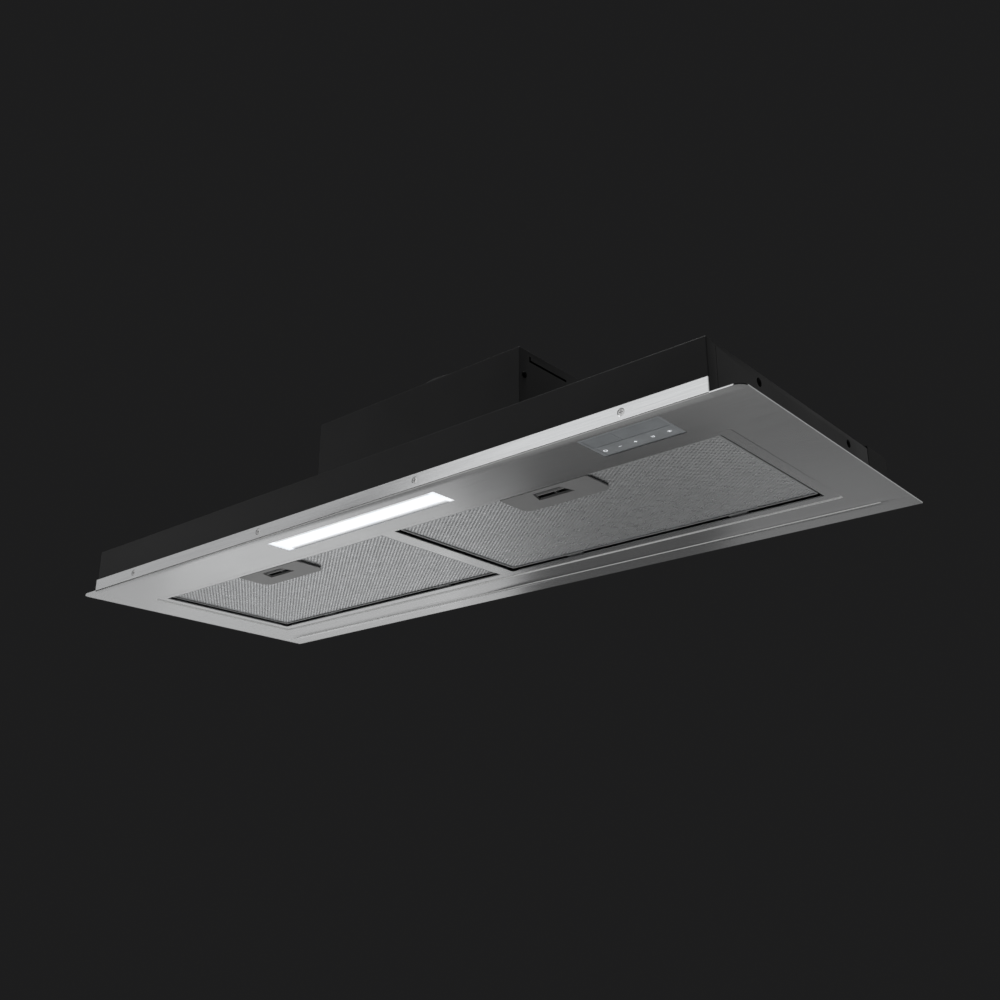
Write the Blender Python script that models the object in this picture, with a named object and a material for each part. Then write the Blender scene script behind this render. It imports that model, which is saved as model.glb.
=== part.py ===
"""Under cabinet range hood: a stainless bottom panel with two hinged grease filters, a light bar
and push keys, under a low black body and a taller fan box with a double-inlet blower.

Frame: origin at the centre of the panel's underside, +Z up, the front edge towards -Y.
All sizes are in metres.
"""

import bmesh
import bpy
from math import acos, cos, degrees, pi, radians, sin
from mathutils import Matrix, Vector

# ---- clearances
GAP = 0.0003            # between faces that touch
FILTER_GAP = 0.0035     # round each grease filter
SLIDE_GAP = 0.0004      # round keys and latch tongues
FAN_CLEAR = 0.002       # blower to fan box

# ---- bottom panel
HOOD_W = 0.900
HOOD_D = 0.340
PANEL_T = 0.0012
CORNER_R = 0.009
LIP_H = 0.0142
SIDE_OVERHANG = 0.0288
BACK_OVERHANG = 0.046
FRONT_STRIP = 0.069
SIDE_STRIP = 0.050
BACK_STRIP = 0.0625
RECESS_D = 0.001
LEDGE_W = 0.013
LEDGE_FRONT_W = 0.008
CROSSBAR_W = 0.018
BEAD_FROM_BACK = 0.028
BEAD_W = 0.003
BEAD_D = 0.0004

# ---- body shell, spacer and fan box
SHEET_T = 0.001
BODY_H = 0.0495
SPACER_H = 0.052
SPACER_R = 0.010
SPACER_TO_BACK = 0.002
BOX_W = 0.302
BOX_D = 0.187
BOX_TOP = 0.1753
BOX_SEAT_W = 0.010
VENT_L = 0.062
VENT_H = 0.0025
VENT_FROM_FRONT = 0.016
VENT_BELOW_TOP = 0.011
FIXING_R = 0.004
FIXING_Z = 0.040
FIXING_FROM_FRONT = (0.0835, 0.251)

# ---- light
LIGHT_W = 0.240
LIGHT_D = 0.0305
LIGHT_FROM_FRONT = 0.0328
LENS_T = 0.0028
LENS_FLANGE_W = 0.004
LIGHT_HOUSING_H = 0.019
BOARD_T = 0.0016
DRIVER_W = 0.080
DRIVER_D = 0.032
DRIVER_TOP = 0.021
DRIVER_FROM_LIGHT = 0.030

# ---- controls
CONTROL_W = 0.080
CONTROL_D = 0.042
CONTROL_INSET = 0.120
CONTROL_FROM_FRONT = 0.0315
FASCIA_T = 0.003
FASCIA_RIM = 0.0022
KEY_D = 0.0165
KEY_H = 0.007
KEY_NAMES = ("key_power", "key_speed_down", "key_speed_up", "key_boost", "key_light")
KEY_BRIDGE = 0.0016
KEY_LIP = 0.001
KEY_TRAVEL = 0.0015
CONTROL_HOUSING_H = 0.016
SWITCH_W = 0.006

# ---- grease filters
FILTER_T = 0.009
FILTER_ABOVE_LEDGE = 0.002
FRAME_T = 0.0008
FRAME_LIP = 0.004
FACE_MESH_T = 0.001
PACK_PITCH = 0.0123
PACK_T = 0.0008
HANDLE_W = 0.099
HANDLE_D = 0.040
HANDLE_T = 0.0017
HANDLE_R = 0.006
POCKET_W = 0.041
POCKET_D = 0.0166
CUP_WALL = 0.0012
CUP_L = 0.0270
CUP_H = 0.0060
TONGUE_W = 0.024
TONGUE_T = 0.0013
TONGUE_OUT = 0.0024
SLIDE_L = 0.0108
FINGER_BAR_T = 0.003
SPRING_BOSS_W = 0.010
SPRING_R = 0.0013
SPRING_WIRE_R = 0.0003
SPRING_TURNS = 5
HOOK_W = 0.020
HOOK_L = 0.0075
HOOK_SPACING = 0.200
PIVOT_IN = 0.002
PIVOT_RISE = 0.0015

# ---- blower
FAN_FLOOR = 0.024       # lowest point of the scroll above the panel's underside
SCROLL_HALF_W = 0.050
SCROLL_T = 0.0015
SCROLL_GROWTH = 0.30
TONGUE_ANGLE = 75.0
MOUTH_RISE = 1.09       # mouth height over the axis, in scroll start radii
SCROLL_STEPS = 34
INLET_R_MOST = 0.044    # where the wheel has room for it
INLET_IN_RIM = 0.008    # at least, the inlet inside the wheel's rim
TIP_CLEAR = 0.0048
BLADE_DEPTH = 0.012
BLADE_COUNT = 24
BLADE_T = 0.0010
WHEEL_HALF_W = 0.0445
WHEEL_RING_T = 0.002
WHEEL_DISC_T = 0.003
WHEEL_DISC_IN = 0.002   # the disc's rim inside the wheel's
HUB_OVER_SHAFT = 3.0    # the hub's radius, in shaft radii
HUB_LEFT = 0.004
HUB_RIGHT = 0.012
BLADE_LEAN = 0.17       # how far a blade's rim end leads, in radians
BLADE_SHORT = 0.0006    # the blades' rim inside the wheel's
INLET_STEP = 0.0032     # the inlet ring's lip and depth
INLET_LIP_T = 0.0013
MOTOR_R_MOST = 0.030    # where the blades leave room for it
MOTOR_TO_BLADES = 0.006 # at least
MOTOR_EDGE = 0.004
MOTOR_L = 0.036
MOTOR_TO_DISC = 0.006
MOTOR_BOSS_R = 0.009
MOTOR_BOSS_L = 0.012
MOTOR_BORE_L = 0.010
SHAFT_R = 0.003
SHAFT_L = 0.028
BRACKET_T = 0.0055
BRACKET_RING_W = 0.0055
BRACKET_HUB_R = 0.016
BRACKET_ARM_W = 0.008
BRACKET_ARM_IN = 0.012
BRACKET_ARM_T = 0.0015
DUCT_RISE = 0.0158
DUCT_FLANGE_T = 0.0015

# ---- outlet
COLLAR_R = 0.060
COLLAR_T = 0.0015
COLLAR_H = 0.025
COLLAR_FLANGE_W = 0.008
STOP_W = 0.002
STOP_T = 0.0012
STOP_RISE = 0.0022
FLAP_T = 0.0012
FLAP_FROM_PIN = 0.0032
PIN_R = 0.0015
PIN_ABOVE_FLAP = 0.001
KNUCKLE_R = 0.0026
KNUCKLE_L = 0.012
KNUCKLES_FRONT = (-0.034, 0.010)
KNUCKLES_REAR = (-0.0217, 0.0223)
TAB_FROM_PIN = 0.0019
TAB_TO_FLAP = 0.006

# ---- electrics
ELECTRONICS_W = 0.120
ELECTRONICS_D = 0.110
ELECTRONICS_H = 0.026
ELECTRONICS_BACK = 0.020    # behind the body's middle
TRAY_T = 0.0015
BOARD_INSET = 0.004
TERMINALS = (0.036, 0.014, 0.012)
TERMINALS_FROM_LEFT = 0.035
TERMINALS_FROM_BACK = 0.018
TERMINAL_WAYS = 4
TERMINAL_PITCH = 0.0085
TERMINAL_WELL = 0.006
WELL_TOP = 0.007
WELL_FLOOR = 0.014
CAPACITOR_R = 0.0175
CAPACITOR_L = 0.050
CAPACITOR_EDGE = 0.001
CAPACITOR_TO_WALL = 0.012
GLAND_R = 0.008
GLAND_BORE_R = 0.0045
GLAND_OUT = 0.014
GLAND_IN = 0.012
GLAND_FLANGE_W = 0.004
GLAND_FLANGE_T = 0.005
GLAND_EDGE = 0.001
GLAND_FROM_BACK = 0.040
GLAND_RISE = 0.022
SCREW_HEAD_R = 0.0032
SCREW_R = 0.0015
SCREW_L = 0.005
SCREW_Z = 0.008
SCREW_FROM_CENTRE = (0.1135, 0.342)

# ---- places that follow from the sizes above
FRONT = -HOOD_D / 2
BACK = HOOD_D / 2
BODY_X = HOOD_W / 2 - SIDE_OVERHANG
BODY_FRONT = FRONT + PANEL_T + GAP
BODY_BACK = BACK - BACK_OVERHANG
BODY_FLOOR = PANEL_T + GAP
OPEN_X = HOOD_W / 2 - SIDE_STRIP
OPEN_FRONT = FRONT + FRONT_STRIP
OPEN_BACK = BACK - BACK_STRIP
LEDGE_X = OPEN_X - LEDGE_W
LEDGE_FRONT = OPEN_FRONT + LEDGE_FRONT_W
LEDGE_BACK = OPEN_BACK - LEDGE_W
BOX_BACK = BODY_BACK - SHEET_T
BOX_FRONT = BOX_BACK - BOX_D
BOX_FLOOR = BODY_H + GAP
LIGHT_Y = FRONT + LIGHT_FROM_FRONT
CONTROL_X = HOOD_W / 2 - CONTROL_INSET
CONTROL_Y = FRONT + CONTROL_FROM_FRONT
FILTER_Z = RECESS_D + FILTER_ABOVE_LEDGE
FILTER_FRONT = LEDGE_FRONT + FILTER_GAP
FILTER_BACK = LEDGE_BACK - FILTER_GAP
FILTER_IN = CROSSBAR_W / 2 + FILTER_GAP
FILTER_OUT = LEDGE_X - FILTER_GAP
FILTER_X = (FILTER_IN + FILTER_OUT) / 2
PIVOT_Y = FILTER_BACK - PIVOT_IN
PIVOT_Z = FILTER_Z + PIVOT_RISE
DUCT_TOP = BOX_TOP - SHEET_T - GAP
DUCT_FOOT = DUCT_TOP - DUCT_FLANGE_T - DUCT_RISE
OUTLET_Y = (BOX_FRONT + BOX_BACK) / 2
STOP_TOP = BOX_TOP + STOP_RISE + STOP_T
FLAP_Z = STOP_TOP + GAP
PIN_Z = FLAP_Z + FLAP_T / 2 + PIN_ABOVE_FLAP
GLAND_Y = BOX_BACK - GLAND_FROM_BACK
GLAND_Z = BODY_H + GLAND_RISE
SIDES = (("right", 1), ("left", -1))


def spiral_share(turn):
    """How far round the scroll has opened, from 0 at its tongue to 1 at its last straight wall."""
    return (turn - TONGUE_ANGLE) / (360 - TONGUE_ANGLE)


def scroll_radius(start, turn):
    return start * (1 + SCROLL_GROWTH * spiral_share(turn))


def scroll_start_radius():
    """The largest scroll that the fan box holds, by its height or by its depth."""
    height = DUCT_FOOT - GAP - FAN_FLOOR - SCROLL_T
    depth = BOX_D - 2 * (SHEET_T + FAN_CLEAR + SCROLL_T)
    by_height = height / (scroll_radius(1, 270) + MOUTH_RISE)
    by_depth = depth / (scroll_radius(1, 180) + scroll_radius(1, 360))
    return min(by_height, by_depth)


SCROLL_R = scroll_start_radius()
FAN_Y = BOX_FRONT + SHEET_T + FAN_CLEAR + SCROLL_T + scroll_radius(SCROLL_R, 180)
FAN_Z = DUCT_FOOT - GAP - MOUTH_RISE * SCROLL_R
MOUTH_FRONT = FAN_Y + SCROLL_R * cos(radians(TONGUE_ANGLE))
MOUTH_BACK = FAN_Y + scroll_radius(SCROLL_R, 360)
WHEEL_R = SCROLL_R - TIP_CLEAR
INLET_R = min(INLET_R_MOST, WHEEL_R - INLET_IN_RIM)
MOTOR_R = min(MOTOR_R_MOST, WHEEL_R - BLADE_DEPTH - MOTOR_TO_BLADES)


# ---- helpers
def start_empty():
    for obj in list(bpy.data.objects):
        bpy.data.objects.remove(obj)


def material(name, colour, roughness, metallic=0.0):
    found = bpy.data.materials.new(name)
    found.use_nodes = True
    shader = found.node_tree.nodes["Principled BSDF"]
    shader.inputs["Base Color"].default_value = (*colour, 1.0)
    shader.inputs["Roughness"].default_value = roughness
    shader.inputs["Metallic"].default_value = metallic
    return found


def finish(name, bm, surface, smooth=False):
    """Turns a bmesh into a named object, with its faces pointing out."""
    bmesh.ops.recalc_face_normals(bm, faces=bm.faces)
    mesh = bpy.data.meshes.new(name)
    bm.to_mesh(mesh)
    bm.free()
    if smooth:
        mesh.shade_smooth()
        mesh.set_sharp_from_angle(angle=radians(35))
    if surface:
        mesh.materials.append(surface)
    obj = bpy.data.objects.new(name, mesh)
    bpy.context.scene.collection.objects.link(obj)
    return obj


def add_box(bm, x, y, z):
    """A box between the pairs x, y and z."""
    corners = [bm.verts.new((a, b, c)) for a in x for b in y for c in z]
    for face in ((0, 1, 3, 2), (4, 6, 7, 5), (0, 4, 5, 1), (2, 3, 7, 6), (0, 2, 6, 4), (1, 5, 7, 3)):
        bm.faces.new([corners[i] for i in face])


def add_prism(bm, outline, low, high, axis="Z"):
    """An outline pushed along an axis. The outline is (y, z) for X, (x, z) for Y and (x, y) for Z."""
    place = {
        "X": lambda a, b, h: (h, a, b),
        "Y": lambda a, b, h: (a, h, b),
        "Z": lambda a, b, h: (a, b, h),
    }[axis]
    rings = [[bm.verts.new(place(a, b, h)) for a, b in outline] for h in (low, high)]
    bm.faces.new(rings[0])
    bm.faces.new(rings[1])
    bridge(bm, rings[0], rings[1])


def bridge(bm, ring, other):
    for i, corner in enumerate(ring):
        after = (i + 1) % len(ring)
        bm.faces.new((corner, ring[after], other[after], other[i]))


def add_turned(bm, profile, centre, axis, steps=32):
    """A profile of (radius, height) turned round an axis. A profile that leaves the axis is a ring."""
    turn = {
        "X": Matrix.Rotation(pi / 2, 4, "Y"),
        "Y": Matrix.Rotation(-pi / 2, 4, "X"),
        "Z": Matrix(),
    }[axis]
    turned = bmesh.new()
    corners = [turned.verts.new((r, 0, h)) for r, h in profile]
    edges = [turned.edges.new(pair) for pair in zip(corners, corners[1:])]
    if profile[0][0] > 0:
        edges.append(turned.edges.new((corners[-1], corners[0])))
    bmesh.ops.spin(turned, geom=corners + edges, cent=(0, 0, 0), axis=(0, 0, 1),
                   angle=2 * pi, steps=steps, use_merge=True)
    bmesh.ops.remove_doubles(turned, verts=turned.verts, dist=1e-7)
    bmesh.ops.transform(turned, matrix=Matrix.Translation(centre) @ turn, verts=turned.verts)
    scrap = bpy.data.meshes.new("turned")
    turned.to_mesh(scrap)
    turned.free()
    bm.from_mesh(scrap)
    bpy.data.meshes.remove(scrap)


def add_rod(bm, radius, centre, axis, length, steps=24):
    """A plain round bar that starts at centre."""
    add_turned(bm, [(0, 0), (radius, 0), (radius, length), (0, length)], centre, axis, steps)


def box_object(name, x, y, z, surface):
    bm = bmesh.new()
    add_box(bm, x, y, z)
    return finish(name, bm, surface)


def turned_object(name, profile, centre, axis, surface, steps=32):
    bm = bmesh.new()
    add_turned(bm, profile, centre, axis, steps)
    return finish(name, bm, surface, smooth=True)


def combine(target, other_bm, operation="DIFFERENCE"):
    """A Boolean with a helper that is never rendered."""
    helper = finish(f"{target.name}_{operation.lower()}_{len(target.modifiers)}", other_bm, None)
    helper.hide_render = True
    helper.display_type = "WIRE"
    boolean = target.modifiers.new(operation.title(), "BOOLEAN")
    boolean.operation = operation
    boolean.object = helper
    return target


def cut_boxes(target, *boxes):
    """Cuts boxes that are clear of each other."""
    bm = bmesh.new()
    for x, y, z in boxes:
        add_box(bm, x, y, z)
    return combine(target, bm)


def around(middle, width):
    return (middle - width / 2, middle + width / 2)


def grown(pair, by):
    return (pair[0] - by, pair[1] + by)


def arc(centre, radius, start, end, steps=6):
    """Points on an arc, with the angles in degrees."""
    angles = [radians(start + (end - start) * i / steps) for i in range(steps + 1)]
    return [(centre[0] + radius * cos(a), centre[1] + radius * sin(a)) for a in angles]


def pivot(name, place):
    """An empty on a joint's axis, for the pieces that move with it."""
    empty = bpy.data.objects.new(name, None)
    empty.empty_display_size = 0.02
    empty.location = place
    bpy.context.scene.collection.objects.link(empty)
    return empty


def hang(empty, *pieces):
    for piece in pieces:
        piece.parent = empty
        piece.matrix_parent_inverse = Matrix.Translation(-Vector(empty.location))


# ---- bottom panel, body and fan box
def bottom_panel(steel):
    half = HOOD_W / 2
    outline = (arc((-half + CORNER_R, FRONT + CORNER_R), CORNER_R, 180, 270)
               + arc((half - CORNER_R, FRONT + CORNER_R), CORNER_R, 270, 360)
               + [(half, BACK), (-half, BACK)])
    bm = bmesh.new()
    add_prism(bm, outline, 0, PANEL_T)
    panel = finish("bottom_panel", bm, steel)
    beyond = (-PANEL_T, 3 * PANEL_T)
    cut_boxes(panel,
              ((-OPEN_X, OPEN_X), (OPEN_FRONT, OPEN_BACK), beyond),
              (around(0, LIGHT_W), around(LIGHT_Y, LIGHT_D), beyond),
              (around(CONTROL_X, CONTROL_W), around(CONTROL_Y, CONTROL_D), beyond),
              ((-BODY_X, BODY_X), around(BACK - BEAD_FROM_BACK, BEAD_W), (-PANEL_T, BEAD_D)))
    # The ledge is stamped up by RECESS_D, and its outer edge overlaps the panel's by one thickness.
    ledge = bmesh.new()
    add_box(ledge, grown((-OPEN_X, OPEN_X), PANEL_T), grown((OPEN_FRONT, OPEN_BACK), PANEL_T),
            (RECESS_D, RECESS_D + PANEL_T))
    combine(panel, ledge, "UNION")
    bays = (LEDGE_FRONT, LEDGE_BACK)
    cut_boxes(panel,
              ((CROSSBAR_W / 2, LEDGE_X), bays, (-PANEL_T, 4 * PANEL_T)),
              ((-LEDGE_X, -CROSSBAR_W / 2), bays, (-PANEL_T, 4 * PANEL_T)))
    lip = bmesh.new()
    add_box(lip, (-BODY_X, BODY_X), (FRONT, FRONT + PANEL_T), (0, LIP_H))
    combine(panel, lip, "UNION")
    # Countersinks for the lip's screws.
    sinks = bmesh.new()
    for x in screw_places():
        sink = [(0, -PANEL_T), (SCREW_HEAD_R + GAP, -PANEL_T), (SCREW_HEAD_R + GAP, 0),
                (SCREW_R + GAP, PANEL_T), (SCREW_R + GAP, 2 * PANEL_T), (0, 2 * PANEL_T)]
        add_turned(sinks, sink, (x, FRONT, SCREW_Z), "Y", 16)
    return combine(panel, sinks)


def screw_places():
    return [side * x for side in (-1, 1) for x in SCREW_FROM_CENTRE]


def lip_screws(steel):
    """Countersunk screws that hold the panel's lip to the body's front wall."""
    for number, x in enumerate(sorted(screw_places()), 1):
        profile = [(0, GAP / 3), (SCREW_HEAD_R - GAP / 3, GAP / 3), (SCREW_R, PANEL_T),
                   (SCREW_R, SCREW_L), (0, SCREW_L)]
        turned_object(f"lip_screw_{number}", profile, (x, FRONT, SCREW_Z), "Y", steel, 16)


def body_shell(black):
    shell = box_object("body_shell", (-BODY_X, BODY_X), (BODY_FRONT, BODY_BACK),
                       (BODY_FLOOR, BODY_H), black)
    cut_boxes(shell, (grown((-BODY_X, BODY_X), -SHEET_T), (BODY_FRONT + SHEET_T, BODY_BACK - SHEET_T),
                      (0, BODY_H - SHEET_T)))
    cut_boxes(shell, (grown(around(0, BOX_W), -BOX_SEAT_W), grown((BOX_FRONT, BOX_BACK), -BOX_SEAT_W),
                      (BODY_H - 2 * SHEET_T, BODY_H + SHEET_T)))
    holes = bmesh.new()
    for x in screw_places():
        add_rod(holes, SCREW_R + GAP, (x, BODY_FRONT - SHEET_T, SCREW_Z), "Y", 3 * SHEET_T, 16)
    for side in (-1, 1):
        for inset in FIXING_FROM_FRONT:
            place = (side * BODY_X - 2 * SHEET_T, FRONT + inset, FIXING_Z)
            add_rod(holes, FIXING_R, place, "X", 4 * SHEET_T, 20)
    return combine(shell, holes)


def rear_spacer(black):
    """The folded cover that fills the space between the body and the wall, open below."""
    front = BODY_BACK + GAP
    back = BACK - SPACER_TO_BACK

    def profile(inset):
        corner = arc((back - SPACER_R, SPACER_H - SPACER_R), SPACER_R - inset, 0, 90)
        return [(back - inset, BODY_FLOOR - inset)] + corner + [(front - inset, SPACER_H - inset),
                                                                (front - inset, BODY_FLOOR - inset)]
    bm = bmesh.new()
    add_prism(bm, profile(0), -BODY_X, BODY_X, "X")
    spacer = finish("rear_spacer", bm, black)
    hollow = bmesh.new()
    add_prism(hollow, profile(SHEET_T), SHEET_T - BODY_X, BODY_X - SHEET_T, "X")
    return combine(spacer, hollow)


def motor_box(black):
    shell = box_object("motor_box", around(0, BOX_W), (BOX_FRONT, BOX_BACK), (BOX_FLOOR, BOX_TOP), black)
    cut_boxes(shell, (grown(around(0, BOX_W), -SHEET_T), grown((BOX_FRONT, BOX_BACK), -SHEET_T),
                      (BOX_FLOOR - SHEET_T, BOX_TOP - SHEET_T)))
    vent = around(BOX_FRONT + VENT_FROM_FRONT + VENT_L / 2, VENT_L)
    height = around(BOX_TOP - VENT_BELOW_TOP, VENT_H)
    cut_boxes(shell,
              (around(BOX_W / 2, 4 * SHEET_T), vent, height),
              (around(-BOX_W / 2, 4 * SHEET_T), vent, height))
    holes = bmesh.new()
    add_rod(holes, COLLAR_R + 2 * GAP, (0, OUTLET_Y, BOX_TOP - 2 * SHEET_T), "Z", 4 * SHEET_T, 48)
    add_rod(holes, GLAND_R + GAP, (-BOX_W / 2 - 2 * SHEET_T, GLAND_Y, GLAND_Z), "X", 4 * SHEET_T, 24)
    return combine(shell, holes)


# ---- light
def light(lens, steel, board):
    """The lens sits in the panel from above, and the housing closes over it."""
    window = (around(0, LIGHT_W - 2 * GAP), around(LIGHT_Y, LIGHT_D - 2 * GAP))
    glass = box_object("light_lens", *window, (0, LENS_T), lens)
    outer = (grown(window[0], LENS_FLANGE_W), grown(window[1], LENS_FLANGE_W))
    flange = bmesh.new()
    add_box(flange, *outer, (BODY_FLOOR, LENS_T + GAP))
    combine(glass, flange, "UNION")
    floor = LENS_T + 2 * GAP
    housing = box_object("light_housing", *outer, (floor, floor + LIGHT_HOUSING_H), steel)
    ceiling = floor + LIGHT_HOUSING_H - SHEET_T
    cut_boxes(housing, (grown(outer[0], -SHEET_T), grown(outer[1], -SHEET_T), (0, ceiling)))
    top = ceiling - GAP
    box_object("led_board", grown(window[0], -LENS_FLANGE_W), grown(window[1], -LENS_FLANGE_W),
               (top - BOARD_T, top), board)


def led_driver(plastic):
    right = -LIGHT_W / 2 - LENS_FLANGE_W - DRIVER_FROM_LIGHT
    box_object("led_driver", (right - DRIVER_W, right), around(LIGHT_Y, DRIVER_D),
               (BODY_FLOOR, DRIVER_TOP), plastic)


# ---- controls
def key_pitch():
    return (CONTROL_W - 2 * FASCIA_RIM) / len(KEY_NAMES)


def controls(fascia_plastic, key_plastic, glass, plastic, board):
    """The near half of the fascia holds an indicator window and the far half a row of push keys."""
    face = (around(CONTROL_X, CONTROL_W - 2 * GAP), around(CONTROL_Y, CONTROL_D - 2 * GAP))
    fascia = box_object("control_fascia", *face, (0, FASCIA_T), fascia_plastic)
    outer = (grown(face[0], LENS_FLANGE_W), grown(face[1], LENS_FLANGE_W))
    flange = bmesh.new()
    add_box(flange, *outer, (BODY_FLOOR, FASCIA_T))
    combine(fascia, flange, "UNION")
    key_row = CONTROL_Y + CONTROL_D / 2 - FASCIA_RIM - KEY_D / 2
    window_y = (CONTROL_Y - CONTROL_D / 2 + FASCIA_RIM, key_row - KEY_D / 2 - FASCIA_RIM)
    window_x = around(CONTROL_X, CONTROL_W - 2 * FASCIA_RIM)
    first = CONTROL_X - key_pitch() * (len(KEY_NAMES) - 1) / 2
    places = [(around(first + i * key_pitch(), key_pitch() - KEY_BRIDGE), around(key_row, KEY_D))
              for i in range(len(KEY_NAMES))]
    through = (-FASCIA_T, 2 * FASCIA_T)
    cut_boxes(fascia, (window_x, window_y, through), *[(x, y, through) for x, y in places])
    box_object("indicator_window", grown(window_x, -GAP), grown(window_y, -GAP),
               (GAP, FASCIA_T - GAP), glass)
    for name, (x, y) in zip(KEY_NAMES, places):
        key = box_object(name, grown(x, -SLIDE_GAP), grown(y, -SLIDE_GAP), (GAP, KEY_H), key_plastic)
        lip = bmesh.new()
        add_box(lip, grown(x, -2 * SLIDE_GAP), grown(y, KEY_LIP),
                (FASCIA_T + GAP, FASCIA_T + GAP + KEY_LIP))
        combine(key, lip, "UNION")
        hang(pivot(f"{name}_slide", (sum(x) / 2, key_row, 0)), key)
    floor = FASCIA_T + GAP
    housing = box_object("control_housing", *outer, (floor, floor + CONTROL_HOUSING_H), plastic)
    top = floor + CONTROL_HOUSING_H - TRAY_T
    cut_boxes(housing, (grown(outer[0], -TRAY_T), grown(outer[1], -TRAY_T), (0, top)))
    circuit = box_object("control_board", grown(face[0], -TRAY_T), grown(face[1], -TRAY_T),
                         (top - GAP - BOARD_T, top - GAP), board)
    switches = bmesh.new()
    for x, y in places:
        add_box(switches, around(sum(x) / 2, SWITCH_W), around(sum(y) / 2, SWITCH_W),
                (KEY_H + KEY_TRAVEL + GAP, top - GAP - BOARD_T / 2))
    combine(circuit, switches, "UNION")


# ---- grease filters
def grease_filter(side_name, side, aluminium, mesh_metal, handle_plastic, spring_steel):
    x = tuple(sorted((side * FILTER_IN, side * FILTER_OUT)))
    y = (FILTER_FRONT, FILTER_BACK)
    top = FILTER_Z + FILTER_T
    centre = side * FILTER_X
    frame = box_object(f"filter_frame_{side_name}", x, y, (FILTER_Z, top), aluminium)
    hooks = bmesh.new()
    for offset in (-HOOK_SPACING / 2, HOOK_SPACING / 2):
        add_box(hooks, around(centre + offset, HOOK_W), (FILTER_BACK - FRAME_T, FILTER_BACK + HOOK_L),
                (FILTER_Z, FILTER_Z + PANEL_T))
    combine(frame, hooks, "UNION")
    channel = (FILTER_Z + FRAME_T, top - FRAME_T)
    cut_boxes(frame, (grown(x, -FRAME_T), grown(y, -FRAME_T), channel))
    cut_boxes(frame, (grown(x, -FRAME_LIP), grown(y, -FRAME_LIP), (0, top + FRAME_T)))
    tongue_z = (channel[0] + GAP, channel[0] + GAP + TONGUE_T)
    slot_x = around(centre, TONGUE_W + 2 * SLIDE_GAP)
    slot_y = (FILTER_FRONT - FRAME_T, FILTER_FRONT + 2 * FRAME_T)
    cut_boxes(frame, (slot_x, slot_y, grown(tongue_z, GAP)))

    # The handle is a plate under the frame, with a cup that rises through the mesh.
    cup_front = FILTER_FRONT + FRAME_LIP + GAP
    cup_x = around(centre, POCKET_W + 2 * CUP_WALL)
    cup_y = (cup_front, cup_front + CUP_L + 2 * CUP_WALL)
    plate_z = (FILTER_Z - GAP - HANDLE_T, FILTER_Z - GAP)
    handle = filter_handle(side_name, centre, plate_z, cup_x, cup_y, tongue_z, handle_plastic)

    mesh_x = grown(x, -FRAME_T - GAP)
    mesh_y = grown(y, -FRAME_T - GAP)
    notch = (grown(cup_x, GAP), (FILTER_FRONT, cup_y[1] + GAP), (0, top))
    face_z = (channel[0] + GAP, channel[0] + GAP + FACE_MESH_T)
    face = box_object(f"filter_face_{side_name}", mesh_x, mesh_y, face_z, mesh_metal)
    cut_boxes(face, notch)
    pack = filter_pack(side_name, mesh_x, mesh_y, (face_z[1] + GAP, channel[1] - GAP), mesh_metal)
    cut_boxes(pack, notch)

    slide, spring = latch(side_name, centre, cup_y, tongue_z, handle_plastic, spring_steel)
    hinge = pivot(f"filter_{side_name}_hinge", (centre, PIVOT_Y, PIVOT_Z))
    hang(hinge, frame, handle, face, pack, spring)
    hang(pivot(f"latch_{side_name}_slide", (centre, cup_y[0], tongue_z[0])), slide)


def filter_pack(side_name, x, y, z, mesh_metal):
    """The folded layer behind the face, which fills the frame's depth."""
    folds = 2 * round((x[1] - x[0]) / PACK_PITCH)
    step = (x[1] - x[0]) / folds
    thick = PACK_T * (1 + ((z[1] - z[0]) / step) ** 2) ** 0.5
    lower = [(x[0] + i * step, z[1] - thick if i % 2 else z[0]) for i in range(folds + 1)]
    upper = [(across, height + thick) for across, height in lower]
    bm = bmesh.new()
    add_prism(bm, lower + upper[::-1], *y, "Y")
    return finish(f"filter_pack_{side_name}", bm, mesh_metal)


def filter_handle(side_name, centre, plate_z, cup_x, cup_y, tongue_z, plastic):
    left, right = around(centre, HANDLE_W)
    front, back = FILTER_FRONT, FILTER_FRONT + HANDLE_D
    outline = [(left, front), (right, front)]
    outline += arc((right - HANDLE_R, back - HANDLE_R), HANDLE_R, 0, 90, 4)
    outline += arc((left + HANDLE_R, back - HANDLE_R), HANDLE_R, 90, 180, 4)
    bm = bmesh.new()
    add_prism(bm, outline, *plate_z)
    handle = finish(f"filter_handle_{side_name}", bm, plastic)
    cup_top = plate_z[1] + CUP_H
    cup = bmesh.new()
    add_box(cup, cup_x, cup_y, (plate_z[0] + HANDLE_T / 2, cup_top))
    combine(handle, cup, "UNION")
    inside_y = grown(cup_y, -CUP_WALL)
    inside_x = grown(cup_x, -CUP_WALL)
    cut_boxes(handle, (inside_x, inside_y, (plate_z[1], cup_top - CUP_WALL)))
    cut_boxes(handle, (inside_x, (inside_y[0], inside_y[0] + POCKET_D), (0, plate_z[1] + GAP)))
    slot_x = around(centre, TONGUE_W + 2 * SLIDE_GAP)
    slot_y = around(cup_y[0] + CUP_WALL / 2, 2 * CUP_WALL)
    return cut_boxes(handle, (slot_x, slot_y, grown(tongue_z, GAP)))


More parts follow.
